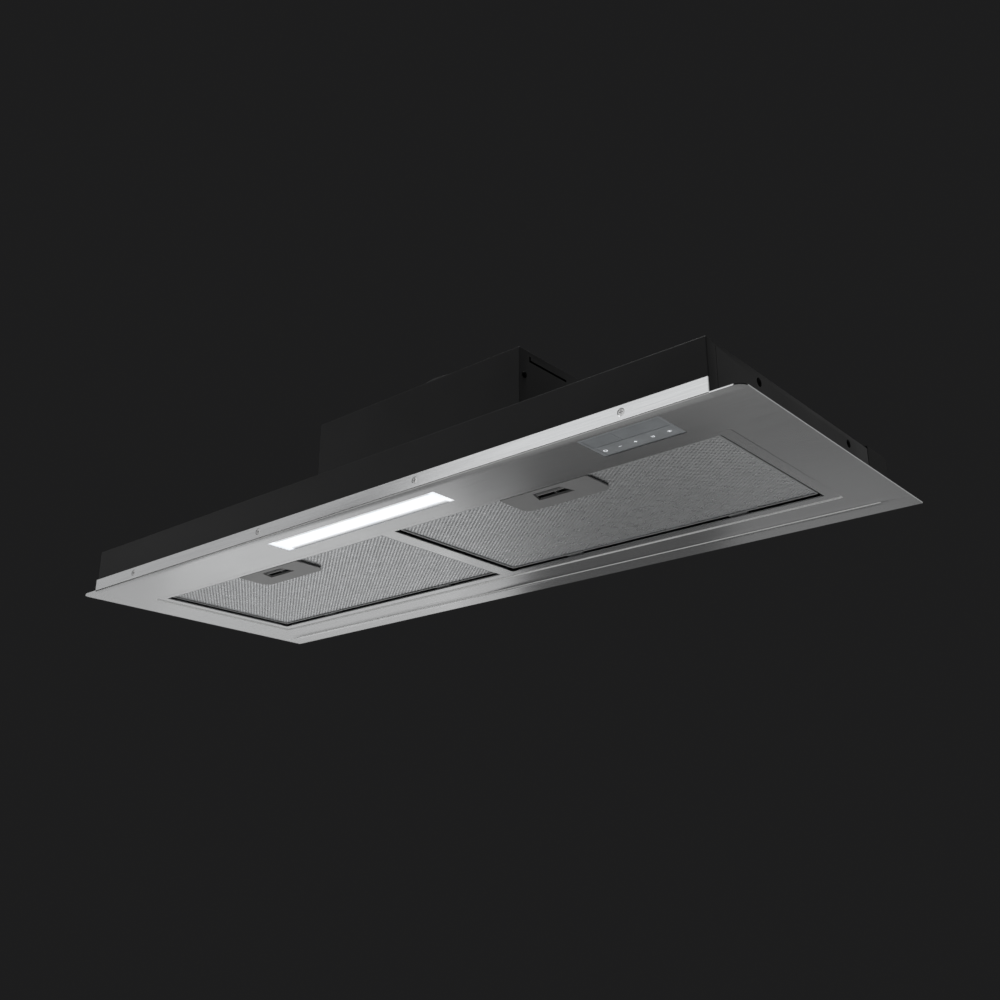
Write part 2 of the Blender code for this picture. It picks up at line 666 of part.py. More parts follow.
def latch(side_name, centre, cup_y, tongue_z, plastic, spring_steel):
    """A flat slide with a tongue at the front, a finger bar below and a return spring behind."""
    slide_x = around(centre, POCKET_W - 6 * SLIDE_GAP - 2 * GAP)
    slide_front = cup_y[0] + CUP_WALL + SLIDE_GAP
    slide_back = slide_front + SLIDE_L
    bar_back = slide_back - FINGER_BAR_T
    boss_top = tongue_z[0] + 2 * (SPRING_R + SPRING_WIRE_R)
    slide = box_object(f"latch_slide_{side_name}", slide_x, (slide_front, slide_back), tongue_z, plastic)
    tongue = bmesh.new()
    add_box(tongue, around(centre, TONGUE_W), (FILTER_FRONT - TONGUE_OUT, slide_front + FINGER_BAR_T),
            tongue_z)
    combine(slide, tongue, "UNION")
    bar = bmesh.new()
    add_box(bar, slide_x, (bar_back - FINGER_BAR_T, bar_back), (FILTER_Z - HANDLE_T, tongue_z[1] - GAP))
    combine(slide, bar, "UNION")
    boss = bmesh.new()
    add_box(boss, around(centre, SPRING_BOSS_W), (bar_back, slide_back), (tongue_z[0] + GAP, boss_top))
    combine(slide, boss, "UNION")
    back = cup_y[1] - CUP_WALL - GAP
    axis_z = tongue_z[0] + SPRING_R + SPRING_WIRE_R
    spring = coil_spring(f"latch_spring_{side_name}", centre, slide_back + GAP, back, axis_z,
                         spring_steel)
    return slide, spring


def coil_spring(name, x, start, end, z, surface):
    curve = bpy.data.curves.new(name, "CURVE")
    curve.dimensions = "3D"
    curve.bevel_depth = SPRING_WIRE_R
    curve.bevel_resolution = 1
    curve.use_fill_caps = True
    points_per_turn = 8
    count = SPRING_TURNS * points_per_turn + 1
    line = curve.splines.new("POLY")
    line.points.add(count - 1)
    first, last = start + SPRING_WIRE_R, end - SPRING_WIRE_R
    for i, point in enumerate(line.points):
        turn = 2 * pi * i / points_per_turn
        y = first + (last - first) * i / (count - 1)
        point.co = (x + SPRING_R * cos(turn), y, z + SPRING_R * sin(turn), 1)
    curve.materials.append(surface)
    spring = bpy.data.objects.new(name, curve)
    bpy.context.scene.collection.objects.link(spring)
    return spring


# ---- blower
def scroll_outline(thicker, mouth_over):
    """The scroll's side view as (y, z): the spiral, then the straight mouth."""
    points = []
    for i in range(SCROLL_STEPS + 1):
        turn = TONGUE_ANGLE + (360 - TONGUE_ANGLE) * i / SCROLL_STEPS
        radius = scroll_radius(SCROLL_R, turn) + thicker
        points.append((FAN_Y + radius * cos(radians(turn)), FAN_Z + radius * sin(radians(turn))))
    mouth_z = FAN_Z + MOUTH_RISE * SCROLL_R + mouth_over
    points.append((MOUTH_BACK + thicker, mouth_z))
    points.append((MOUTH_FRONT - thicker, mouth_z))
    points[0] = (MOUTH_FRONT - thicker, points[0][1] + (thicker and thicker * 0.2))
    return points


def scroll_half(side_name, side, plastic):
    inner = side * GAP / 2
    outer = side * SCROLL_HALF_W
    bm = bmesh.new()
    add_prism(bm, scroll_outline(SCROLL_T, 0), *sorted((inner, outer)), "X")
    half = finish(f"scroll_{side_name}", bm, plastic, smooth=True)
    hollow = bmesh.new()
    add_prism(hollow, scroll_outline(0, SCROLL_T), *sorted((-inner, outer - side * SCROLL_T)), "X")
    combine(half, hollow)
    inlet = bmesh.new()
    add_rod(inlet, INLET_R, (min(outer, outer - 2 * side * SCROLL_T) - SCROLL_T, FAN_Y, FAN_Z), "X",
            4 * SCROLL_T, 40)
    return combine(half, inlet)


def inlet_ring(side_name, side, plastic):
    """A flared ring that leads the air into the wheel."""
    wall = SCROLL_HALF_W
    depth = wall - INLET_STEP
    lip_in, lip_out = wall + GAP, wall + GAP + INLET_LIP_T
    throat = INLET_R - INLET_STEP
    profile = [(INLET_R - GAP, depth), (INLET_R - GAP, lip_in), (INLET_R + INLET_STEP, lip_in),
               (INLET_R + INLET_STEP, lip_out), (INLET_R - INLET_LIP_T, lip_out),
               (throat + INLET_LIP_T / 2, lip_in), (throat, depth)]
    placed = [(r, side * h) for r, h in profile]
    return turned_object(f"inlet_ring_{side_name}", placed, (0, FAN_Y, FAN_Z), "X", plastic, 40)


def fan_wheel(plastic, steel):
    """Forward-curved blades between two end rings and a middle disc, on a hub."""
    ring_in = WHEEL_R - BLADE_DEPTH / 2
    bm = bmesh.new()
    for low in (-WHEEL_HALF_W, WHEEL_HALF_W - WHEEL_RING_T):
        high = low + WHEEL_RING_T
        add_turned(bm, [(ring_in, low), (WHEEL_R, low), (WHEEL_R, high), (ring_in, high)],
                   (0, FAN_Y, FAN_Z), "X", 36)
    bore, hub = SHAFT_R + GAP, HUB_OVER_SHAFT * SHAFT_R
    rim, half = WHEEL_R - WHEEL_DISC_IN, WHEEL_DISC_T / 2
    disc = [(bore, -HUB_LEFT), (hub, -HUB_LEFT), (hub, -half), (rim, -half),
            (rim, half), (hub, half), (hub, HUB_RIGHT), (bore, HUB_RIGHT)]
    add_turned(bm, disc, (0, FAN_Y, FAN_Z), "X", 36)
    wheel = finish("fan_wheel", bm, plastic, smooth=True)
    blades = bmesh.new()
    for i in range(BLADE_COUNT):
        outline = blade_outline(2 * pi * i / BLADE_COUNT)
        add_prism(blades, outline, GAP - WHEEL_HALF_W, WHEEL_HALF_W - GAP, "X")
    combine(wheel, blades, "UNION")
    shaft = bmesh.new()
    add_rod(shaft, SHAFT_R, (-SHAFT_L / 2, FAN_Y, FAN_Z), "X", SHAFT_L, 20)
    shaft = finish("motor_shaft", shaft, steel, smooth=True)
    hang(pivot("fan_spin", (0, FAN_Y, FAN_Z)), wheel, shaft)


def blade_outline(turn):
    """One blade's section, which leans forward as it nears the rim."""
    inner, outer = WHEEL_R - BLADE_DEPTH, WHEEL_R - BLADE_SHORT
    steps = 2
    leading, trailing = [], []
    for i in range(steps + 1):
        radius = inner + (outer - inner) * i / steps
        angle = turn + BLADE_LEAN * (i / steps) ** 2
        half = BLADE_T / radius / 2
        leading.append((FAN_Y + radius * cos(angle - half), FAN_Z + radius * sin(angle - half)))
        trailing.append((FAN_Y + radius * cos(angle + half), FAN_Z + radius * sin(angle + half)))
    return leading + trailing[::-1]


def fan_motor(steel):
    near, far = -MOTOR_TO_DISC, -MOTOR_TO_DISC - MOTOR_L
    end, bore_end = far - MOTOR_BOSS_L, near - MOTOR_BORE_L
    cap_r, bore = MOTOR_R - MOTOR_EDGE, SHAFT_R + GAP
    body = [(0, end), (MOTOR_BOSS_R, end), (MOTOR_BOSS_R, far), (cap_r, far),
            (MOTOR_R, far + MOTOR_EDGE), (MOTOR_R, near - MOTOR_EDGE), (cap_r, near),
            (bore, near), (bore, bore_end), (0, bore_end)]
    return turned_object("fan_motor", body, (0, FAN_Y, FAN_Z), "X", steel, 36)


def motor_bracket(steel):
    """A ring on the left side of the scroll, with three arms that carry the motor."""
    ring_in, ring_out = INLET_R + BRACKET_RING_W, INLET_R + 2 * BRACKET_RING_W
    near = -SCROLL_HALF_W - GAP
    far = near - BRACKET_T
    arm_x = (far, far + BRACKET_ARM_T)
    bm = bmesh.new()
    add_turned(bm, [(ring_in, far), (ring_out, far), (ring_out, near), (ring_in, near)],
               (0, FAN_Y, FAN_Z), "X", 40)
    bracket = finish("motor_bracket", bm, steel, smooth=True)
    hub = bmesh.new()
    add_rod(hub, BRACKET_HUB_R, (far, FAN_Y, FAN_Z), "X", BRACKET_ARM_T)
    combine(bracket, hub, "UNION")
    for i in range(3):
        arm = bmesh.new()
        add_box(arm, arm_x, (BRACKET_ARM_IN, ring_in + BRACKET_RING_W / 3), around(0, BRACKET_ARM_W))
        turn = Matrix.Translation((0, FAN_Y, FAN_Z)) @ Matrix.Rotation(2 * pi * i / 3 + pi / 6, 4, "X")
        bmesh.ops.transform(arm, matrix=turn, verts=arm.verts)
        combine(bracket, arm, "UNION")
    return bracket


def outlet_duct(plastic):
    """The rise from the scroll's square mouth to the round outlet, with a flange on top."""
    steps = 40
    mouth_y = (MOUTH_FRONT + MOUTH_BACK) / 2
    half_x, half_y = SCROLL_HALF_W, (MOUTH_BACK - MOUTH_FRONT) / 2 + SCROLL_T
    throat = COLLAR_R - COLLAR_T

    def square(inset):
        points = []
        for i in range(steps):
            angle = 2 * pi * (i + 0.5) / steps
            reach = min((half_x - inset) / abs(cos(angle)), (half_y - inset) / abs(sin(angle)))
            points.append((reach * cos(angle), mouth_y + reach * sin(angle), DUCT_FOOT))
        return points

    def circle(radius, z):
        angles = [2 * pi * (i + 0.5) / steps for i in range(steps)]
        return [(radius * cos(a), OUTLET_Y + radius * sin(a), z) for a in angles]

    under = DUCT_TOP - DUCT_FLANGE_T
    loops = [square(0), circle(throat + SCROLL_T, under), circle(COLLAR_R + COLLAR_FLANGE_W, under),
             circle(COLLAR_R + COLLAR_FLANGE_W, DUCT_TOP), circle(throat, DUCT_TOP), square(SCROLL_T)]
    bm = bmesh.new()
    rings = [[bm.verts.new(point) for point in loop] for loop in loops]
    for ring, other in zip(rings, rings[1:] + rings[:1]):
        bridge(bm, ring, other)
    return finish("outlet_duct", bm, plastic, smooth=True)


def outlet_collar(plastic):
    """The spigot that a round duct fits over, with a stop inside for the damper flaps."""
    inner, outer = COLLAR_R - COLLAR_T, COLLAR_R
    seat, stop = BOX_TOP + GAP, BOX_TOP + STOP_RISE
    profile = [(inner, BOX_TOP - SHEET_T), (outer, BOX_TOP - SHEET_T), (outer, seat),
               (outer + COLLAR_FLANGE_W, seat), (outer + COLLAR_FLANGE_W, seat + COLLAR_T),
               (outer, seat + COLLAR_T), (outer, BOX_TOP + COLLAR_H), (inner, BOX_TOP + COLLAR_H),
               (inner, STOP_TOP), (inner - STOP_W, STOP_TOP), (inner - STOP_W, stop), (inner, stop)]
    collar = turned_object("outlet_collar", profile, (0, OUTLET_Y, 0), "Z", plastic, 48)
    hole = bmesh.new()
    add_rod(hole, PIN_R + GAP, (-2 * COLLAR_R, OUTLET_Y, PIN_Z), "X", 4 * COLLAR_R, 16)
    return combine(collar, hole)


def damper(plastic, steel):
    """Two half-round flaps on one pin. Each falls shut on the stop and is blown open upwards."""
    pin_l = 2 * (COLLAR_R - GAP)
    pin = bmesh.new()
    add_rod(pin, PIN_R, (-pin_l / 2, OUTLET_Y, PIN_Z), "X", pin_l, 16)
    finish("damper_pin", pin, steel, smooth=True)
    reach = COLLAR_R - COLLAR_T - SLIDE_GAP
    half_turn = degrees(acos(FLAP_FROM_PIN / reach))
    for name, side, starts in (("front", -1, KNUCKLES_FRONT), ("rear", 1, KNUCKLES_REAR)):
        rim = arc((0, 0), reach, half_turn, -half_turn, 20)
        outline = [(across, OUTLET_Y + side * along) for along, across in rim]
        bm = bmesh.new()
        add_prism(bm, outline, FLAP_Z, FLAP_Z + FLAP_T)
        flap = finish(f"damper_flap_{name}", bm, plastic)
        joints = bmesh.new()
        for start in starts:
            tab = sorted((OUTLET_Y + side * TAB_FROM_PIN, OUTLET_Y + side * TAB_TO_FLAP))
            add_box(joints, (start, start + KNUCKLE_L), tab, grown((FLAP_Z, FLAP_Z + FLAP_T), -GAP / 2))
        combine(flap, joints, "UNION")
        barrels = bmesh.new()
        for start in starts:
            add_rod(barrels, KNUCKLE_R, (start, OUTLET_Y, PIN_Z), "X", KNUCKLE_L, 20)
        combine(flap, barrels, "UNION")
        bore = bmesh.new()
        add_rod(bore, PIN_R + GAP, (-COLLAR_R, OUTLET_Y, PIN_Z), "X", 2 * COLLAR_R, 16)
        combine(flap, bore)
        hang(pivot(f"damper_{name}_hinge", (0, OUTLET_Y, PIN_Z)), flap)


# ---- electrics
def electronics(plastic, board, cream):
    """A tray under the body's top, between the fan box and the right side, with its lid below."""
    x = around((BOX_W / 2 + BODY_X) / 2, ELECTRONICS_W)
    y = around((BODY_FRONT + BODY_BACK) / 2 + ELECTRONICS_BACK, ELECTRONICS_D)
    top = BODY_H - SHEET_T - GAP
    tray = box_object("electronics_tray", x, y, (top - ELECTRONICS_H, top), plastic)
    cut_boxes(tray, (grown(x, -TRAY_T), grown(y, -TRAY_T), (0, top - TRAY_T)))
    lid_top = top - ELECTRONICS_H - GAP
    box_object("electronics_lid", x, y, (lid_top - TRAY_T, lid_top), plastic)
    board_top = top - TRAY_T - BOARD_INSET
    board_floor = board_top - BOARD_T
    inside = (grown(x, -TRAY_T - BOARD_INSET), grown(y, -TRAY_T - BOARD_INSET))
    box_object("power_board", *inside, (board_floor, board_top), board)
    width, depth, height = TERMINALS
    block_x, block_y = x[0] + TERMINALS_FROM_LEFT, y[1] - TERMINALS_FROM_BACK
    block = box_object("terminal_block", around(block_x, width), around(block_y, depth),
                       (board_floor - GAP - height, board_floor - GAP), cream)
    first = block_x - TERMINAL_PITCH * (TERMINAL_WAYS - 1) / 2
    wells = [(around(first + i * TERMINAL_PITCH, TERMINAL_WELL), around(block_y, TERMINAL_WELL),
              (board_floor - WELL_FLOOR, board_floor - WELL_TOP)) for i in range(TERMINAL_WAYS)]
    cut_boxes(block, *wells)


def capacitor(cream):
    end_r = CAPACITOR_R - CAPACITOR_EDGE
    profile = [(0, 0), (end_r, 0), (CAPACITOR_R, CAPACITOR_EDGE),
               (CAPACITOR_R, CAPACITOR_L - CAPACITOR_EDGE), (end_r, CAPACITOR_L), (0, CAPACITOR_L)]
    x = BOX_W / 2 - SHEET_T - CAPACITOR_R - CAPACITOR_TO_WALL
    place = (x, BOX_FRONT + SHEET_T + GAP, (BOX_FLOOR + BOX_TOP) / 2)
    return turned_object("run_capacitor", profile, place, "Y", cream, 28)


def cable_gland(plastic):
    """The mains lead's gland, through the left side of the fan box."""
    wall = -BOX_W / 2
    outer, inner = wall - GLAND_OUT, wall + GLAND_IN
    flange, flange_r = wall - GLAND_FLANGE_T, GLAND_R + GLAND_FLANGE_W
    profile = [(GLAND_BORE_R, outer), (GLAND_R - GLAND_EDGE, outer), (GLAND_R, outer + GLAND_EDGE),
               (GLAND_R, flange), (flange_r, flange), (flange_r, wall - GAP),
               (GLAND_R, wall - GAP), (GLAND_R, inner), (GLAND_BORE_R, inner)]
    return turned_object("cable_gland", profile, (0, GLAND_Y, GLAND_Z), "X", plastic, 24)


def build():
    start_empty()
    stainless = material("brushed_stainless", (0.56, 0.56, 0.56), 0.32, 1.0)
    zinc = material("zinc_steel", (0.50, 0.51, 0.52), 0.42, 1.0)
    black = material("black_paint", (0.020, 0.020, 0.021), 0.50)
    black_plastic = material("black_plastic", (0.025, 0.025, 0.025), 0.55)
    aluminium = material("filter_aluminium", (0.60, 0.61, 0.62), 0.40, 1.0)
    mesh_metal = material("mesh_aluminium", (0.48, 0.48, 0.49), 0.45, 1.0)
    handle_plastic = material("grey_plastic", (0.24, 0.24, 0.245), 0.45)
    lens = material("light_diffuser", (0.93, 0.95, 0.97), 0.35)
    fascia_plastic = material("fascia_grey", (0.30, 0.31, 0.32), 0.30)
    key_plastic = material("key_grey", (0.36, 0.37, 0.38), 0.28)
    glass = material("indicator_glass", (0.33, 0.35, 0.36), 0.12)
    board = material("circuit_board", (0.03, 0.14, 0.06), 0.45)
    white_board = material("led_board_white", (0.82, 0.82, 0.80), 0.40)
    cream = material("cream_plastic", (0.70, 0.68, 0.60), 0.45)

    bottom_panel(stainless)
    lip_screws(zinc)
    body_shell(black)
    rear_spacer(black)
    motor_box(black)
    light(lens, zinc, white_board)
    led_driver(black_plastic)
    controls(fascia_plastic, key_plastic, glass, black_plastic, board)
    for side_name, side in SIDES:
        grease_filter(side_name, side, aluminium, mesh_metal, handle_plastic, zinc)
        scroll_half(side_name, side, black_plastic)
        inlet_ring(side_name, side, black_plastic)
    fan_wheel(black_plastic, zinc)
    fan_motor(zinc)
    motor_bracket(zinc)
    outlet_duct(black_plastic)
    outlet_collar(black_plastic)
    damper(black_plastic, zinc)
    electronics(black_plastic, board, cream)
    capacitor(cream)
    cable_gland(black_plastic)


build()
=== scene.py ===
import math

import bmesh
import bpy
from mathutils import Matrix, Vector


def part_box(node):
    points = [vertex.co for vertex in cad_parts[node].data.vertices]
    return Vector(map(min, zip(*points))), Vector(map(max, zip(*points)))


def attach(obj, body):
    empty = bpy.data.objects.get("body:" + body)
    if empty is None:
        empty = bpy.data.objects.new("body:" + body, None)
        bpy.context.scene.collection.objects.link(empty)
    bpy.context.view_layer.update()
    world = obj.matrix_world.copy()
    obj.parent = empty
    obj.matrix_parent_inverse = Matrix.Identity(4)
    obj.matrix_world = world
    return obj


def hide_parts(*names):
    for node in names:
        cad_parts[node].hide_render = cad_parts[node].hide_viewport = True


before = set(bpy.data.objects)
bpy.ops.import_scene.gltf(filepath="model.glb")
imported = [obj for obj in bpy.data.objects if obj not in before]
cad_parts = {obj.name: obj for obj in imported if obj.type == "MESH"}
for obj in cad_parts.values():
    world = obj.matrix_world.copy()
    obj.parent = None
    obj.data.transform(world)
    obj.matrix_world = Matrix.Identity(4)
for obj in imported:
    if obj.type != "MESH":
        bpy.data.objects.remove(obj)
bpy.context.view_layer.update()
mm = 0.001


def centreOf(node):
    low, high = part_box(node)
    return (low + high) / 2


def finishPiece(name, bm, material, smoothAngle=None, recalc=True):
    if recalc:
        bmesh.ops.recalc_face_normals(bm, faces=bm.faces)
    mesh = bpy.data.meshes.new(name)
    bm.to_mesh(mesh)
    bm.free()
    if smoothAngle:
        mesh.shade_smooth()
        mesh.set_sharp_from_angle(angle=math.radians(smoothAngle))
    if material:
        mesh.materials.append(material)
    piece = bpy.data.objects.new(name, mesh)
    bpy.context.scene.collection.objects.link(piece)
    return piece


def block(bm, low, high):
    xs, ys, zs = zip(low, high)
    corners = [bm.verts.new((x, y, z)) for x in xs for y in ys for z in zs]
    quads = ((0, 1, 3, 2), (4, 6, 7, 5), (0, 4, 5, 1), (2, 3, 7, 6), (0, 2, 6, 4), (1, 5, 7, 3))
    return [bm.faces.new([corners[i] for i in quad]) for quad in quads]


def arcPoints(centre, radius, start, end, steps):
    turns = [math.radians(start + (end - start) * i / steps) for i in range(steps + 1)]
    return [(centre[0] + radius * math.cos(a), centre[1] + radius * math.sin(a)) for a in turns]


def roundedOutline(low, high, radii, steps=6):
    # corners in the order front-left, front-right, back-right, back-left
    points = []
    places = (((low[0], low[1]), 1, 1, 180), ((high[0], low[1]), -1, 1, 270),
              ((high[0], high[1]), -1, -1, 0), ((low[0], high[1]), 1, -1, 90))
    for (corner, sx, sy, start), radius in zip(places, radii):
        if radius <= 0:
            points.append(corner)
            continue
        points += arcPoints((corner[0] + sx * radius, corner[1] + sy * radius), radius,
                            start, start + 90, steps)
    return points


def crossOutline(reach, half):
    return [(-reach, -half), (-half, -half), (-half, -reach), (half, -reach), (half, -half), (reach, -half),
            (reach, half), (half, half), (half, reach), (-half, reach), (-half, half), (-reach, half)]


def prism(bm, outline, bottom, top, place=lambda a, b, h: (a, b, h)):
    rings = [[bm.verts.new(place(a, b, h)) for a, b in outline] for h in (bottom, top)]
    faces = [bm.faces.new(rings[0]), bm.faces.new(rings[1])]
    for i in range(len(outline)):
        j = (i + 1) % len(outline)
        faces.append(bm.faces.new((rings[0][i], rings[0][j], rings[1][j], rings[1][i])))
    return faces


def turned(bm, profile, centre, axis="Z", steps=48):
    # profile is (radius, height) pairs. It is a closed ring unless it starts on the axis
    turn = {"X": Matrix.Rotation(math.pi / 2, 4, "Y"), "Y": Matrix.Rotation(-math.pi / 2, 4, "X"),
            "Z": Matrix()}[axis]
    place = Matrix.Translation(centre) @ turn
    onAxis = profile[0][0] <= 0
    rings = []
    for radius, height in profile:
        if radius <= 0:
            rings.append([bm.verts.new(place @ Vector((0, 0, height)))])
            continue
        ring = []
        for i in range(steps):
            angle = 2 * math.pi * i / steps
            spot = Vector((radius * math.cos(angle), radius * math.sin(angle), height))
            ring.append(bm.verts.new(place @ spot))
        rings.append(ring)
    pairs = list(zip(rings, rings[1:]))
    if not onAxis:
        pairs.append((rings[-1], rings[0]))
    for a, b in pairs:
        for i in range(steps):
            j = (i + 1) % steps
            if len(a) == 1 and len(b) == 1:
                break
            if len(a) == 1:
                bm.faces.new((a[0], b[i], b[j]))
            elif len(b) == 1:
                bm.faces.new((a[i], a[j], b[0]))
            else:
                bm.faces.new((a[i], a[j], b[j], b[i]))


def rod(bm, radius, start, end, centre, axis="Z", steps=48):
    turned(bm, [(0, start), (radius, start), (radius, end), (0, end)], centre, axis, steps)


def softenEdges(bm, width, segments=2, angle=30):
    bm.normal_update()
    limit = math.radians(angle)
    sharp = [e for e in bm.edges if len(e.link_faces) == 2 and e.calc_face_angle(0) > limit]
    bmesh.ops.bevel(bm, geom=sharp, offset=width, segments=segments, affect="EDGES", clamp_overlap=True)


def evaluated(piece):
    # applies the modifiers and gives back a plain mesh
    graph = bpy.context.evaluated_depsgraph_get()
    mesh = bpy.data.meshes.new_from_object(piece.evaluated_get(graph))
    piece.modifiers.clear()
    piece.data = mesh
    return piece


def boolean(piece, bm, operation="DIFFERENCE"):
    cutter = finishPiece(piece.name + "Cutter", bm, None)
    modifier = piece.modifiers.new("cut", "BOOLEAN")
    modifier.operation = operation
    modifier.object = cutter
    evaluated(piece)
    bpy.data.objects.remove(cutter)
    return piece


def sharpen(piece, angle=30):
    piece.data.shade_smooth()
    piece.data.set_sharp_from_angle(angle=math.radians(angle))
    return piece


def sheetWall(piece, thickness):
    # gives a folded surface its sheet thickness, inwards
    wall = piece.modifiers.new("sheet", "SOLIDIFY")
    wall.thickness = thickness
    wall.offset = -1
    wall.use_even_offset = True
    return evaluated(piece)


def cutBlocks(piece, *boxes):
    bm = bmesh.new()
    for low, high in boxes:
        block(bm, low, high)
    return boolean(piece, bm)


def settle(piece, body, slotName, *replaced):
    # which body the piece rides on, a material slot name that is not used, and the nodes it takes the place of
    if replaced:
        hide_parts(*replaced)
    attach(piece, body)


def newMaterial(name, colour, roughness, metallic=0.0):
    material = bpy.data.materials.new(name)
    material.use_nodes = True
    shader = material.node_tree.nodes["Principled BSDF"]
    shader.inputs["Base Color"].default_value = (*colour, 1)
    shader.inputs["Roughness"].default_value = roughness
    shader.inputs["Metallic"].default_value = metallic
    return material, material.node_tree, shader


def grain(tree, scale, detail, stretch=(1, 1, 1)):
    coords = tree.nodes.new("ShaderNodeTexCoord")
    mapping = tree.nodes.new("ShaderNodeMapping")
    mapping.inputs["Scale"].default_value = stretch
    noise = tree.nodes.new("ShaderNodeTexNoise")
    noise.inputs["Scale"].default_value = scale
    noise.inputs["Detail"].default_value = detail
    tree.links.new(coords.outputs["Object"], mapping.inputs["Vector"])
    tree.links.new(mapping.outputs["Vector"], noise.inputs["Vector"])
    return noise


def ramp(tree, source, low, high, start=0.3, end=0.7):
    node = tree.nodes.new("ShaderNodeValToRGB")
    node.color_ramp.elements[0].position = start
    node.color_ramp.elements[1].position = end
    node.color_ramp.elements[0].color = (*low, 1)
    node.color_ramp.elements[1].color = (*high, 1)
    tree.links.new(source, node.inputs["Fac"])
    return node


def spread(tree, source, shader, low, high):
    # carries the source's middle half over to this range of roughness
    node = tree.nodes.new("ShaderNodeMapRange")
    node.inputs["From Min"].default_value = 0.25
    node.inputs["From Max"].default_value = 0.75
    node.inputs["To Min"].default_value = low
    node.inputs["To Max"].default_value = high
    tree.links.new(source, node.inputs["Value"])
    tree.links.new(node.outputs["Result"], shader.inputs["Roughness"])


def tinted(tree, source, shader, colour, darkest, brightest):
    node = ramp(tree, source, [c * darkest for c in colour], [min(1, c * brightest) for c in colour])
    tree.links.new(node.outputs["Color"], shader.inputs["Base Color"])
    return node


def mathNode(tree, operation, *values):
    # each value is a number or another node's output
    node = tree.nodes.new("ShaderNodeMath")
    node.operation = operation
    for i, value in enumerate(values):
        if isinstance(value, (int, float)):
            node.inputs[i].default_value = value
        else:
            tree.links.new(value, node.inputs[i])
    return node.outputs[0]


def bump(tree, source, shader, strength, distance):
    node = tree.nodes.new("ShaderNodeBump")
    node.inputs["Strength"].default_value = strength
    node.inputs["Distance"].default_value = distance
    tree.links.new(source, node.inputs["Height"])
    tree.links.new(node.outputs["Normal"], shader.inputs["Normal"])


def brushedSteel(name, colour=(0.52, 0.525, 0.53), roughness=(0.18, 0.25), along="X", pressed=None):
    # long fine scratches along one axis, and slow cloudy variation in gloss. Faces marked for it can take a
    # lighter colour, a painted highlight on the bends
    material, tree, shader = newMaterial(name, colour, 0.3, 1.0)
    stretch = {"X": (5, 420, 420), "Y": (420, 5, 420), "Z": (420, 420, 5)}[along]
    hair = grain(tree, 3.0, 6, stretch)
    cloud = grain(tree, 7.0, 3)
    tint = tinted(tree, hair.outputs["Fac"], shader, colour, 0.93, 1.06)
    if pressed:
        mark = tree.nodes.new("ShaderNodeAttribute")
        mark.attribute_name = "pressed"
        brighter = tree.nodes.new("ShaderNodeMix")
        brighter.data_type = "RGBA"
        tree.links.new(mark.outputs["Fac"], brighter.inputs[0])
        tree.links.new(tint.outputs["Color"], brighter.inputs[6])
        brighter.inputs[7].default_value = (*pressed, 1)
        tree.links.new(brighter.outputs[2], shader.inputs["Base Color"])
    cloudShare = mathNode(tree, "MULTIPLY", cloud.outputs["Fac"], 0.55)
    spread(tree, mathNode(tree, "MULTIPLY_ADD", hair.outputs["Fac"], 0.45, cloudShare), shader, *roughness)
    bump(tree, hair.outputs["Fac"], shader, 0.10, 0.00004)
    return material


def powderCoat(name, colour=(0.036, 0.036, 0.037), roughness=(0.42, 0.55), gloss=0.12):
    # fine orange peel, with a little dust in the gloss
    material, tree, shader = newMaterial(name, colour, 0.5)
    shader.inputs["Specular IOR Level"].default_value = gloss
    peel = grain(tree, 900, 2)
    cloud = grain(tree, 9, 4)
    spread(tree, cloud.outputs["Fac"], shader, *roughness)
    tinted(tree, cloud.outputs["Fac"], shader, colour, 0.85, 1.2)
    bump(tree, peel.outputs["Fac"], shader, 0.18, 0.00006)
    return material


def mouldedPlastic(name, colour, roughness=(0.38, 0.5), sparkle=700, mottle=0.07):
    material, tree, shader = newMaterial(name, colour, 0.45)
    texture = grain(tree, sparkle, 3)
    cloud = grain(tree, 25, 3)
    spread(tree, cloud.outputs["Fac"], shader, *roughness)
    tinted(tree, cloud.outputs["Fac"], shader, colour, 1 - mottle, 1 + mottle)
    bump(tree, texture.outputs["Fac"], shader, 0.12, 0.00004)
    return material


def rolledMetal(name, colour, roughness=(0.3, 0.45), cloudScale=30, metallic=1.0, depth=0.00005):
    # zinc or aluminium sheet, with soft blotches and rolling marks
    material, tree, shader = newMaterial(name, colour, 0.38, metallic)
    cloud = grain(tree, cloudScale, 5)
    marks = grain(tree, 60, 4, (1, 9, 1))
    spread(tree, cloud.outputs["Fac"], shader, *roughness)
    tinted(tree, marks.outputs["Fac"], shader, colour, 0.88, 1.08)
    bump(tree, marks.outputs["Fac"], shader, 0.12, depth)
    return material


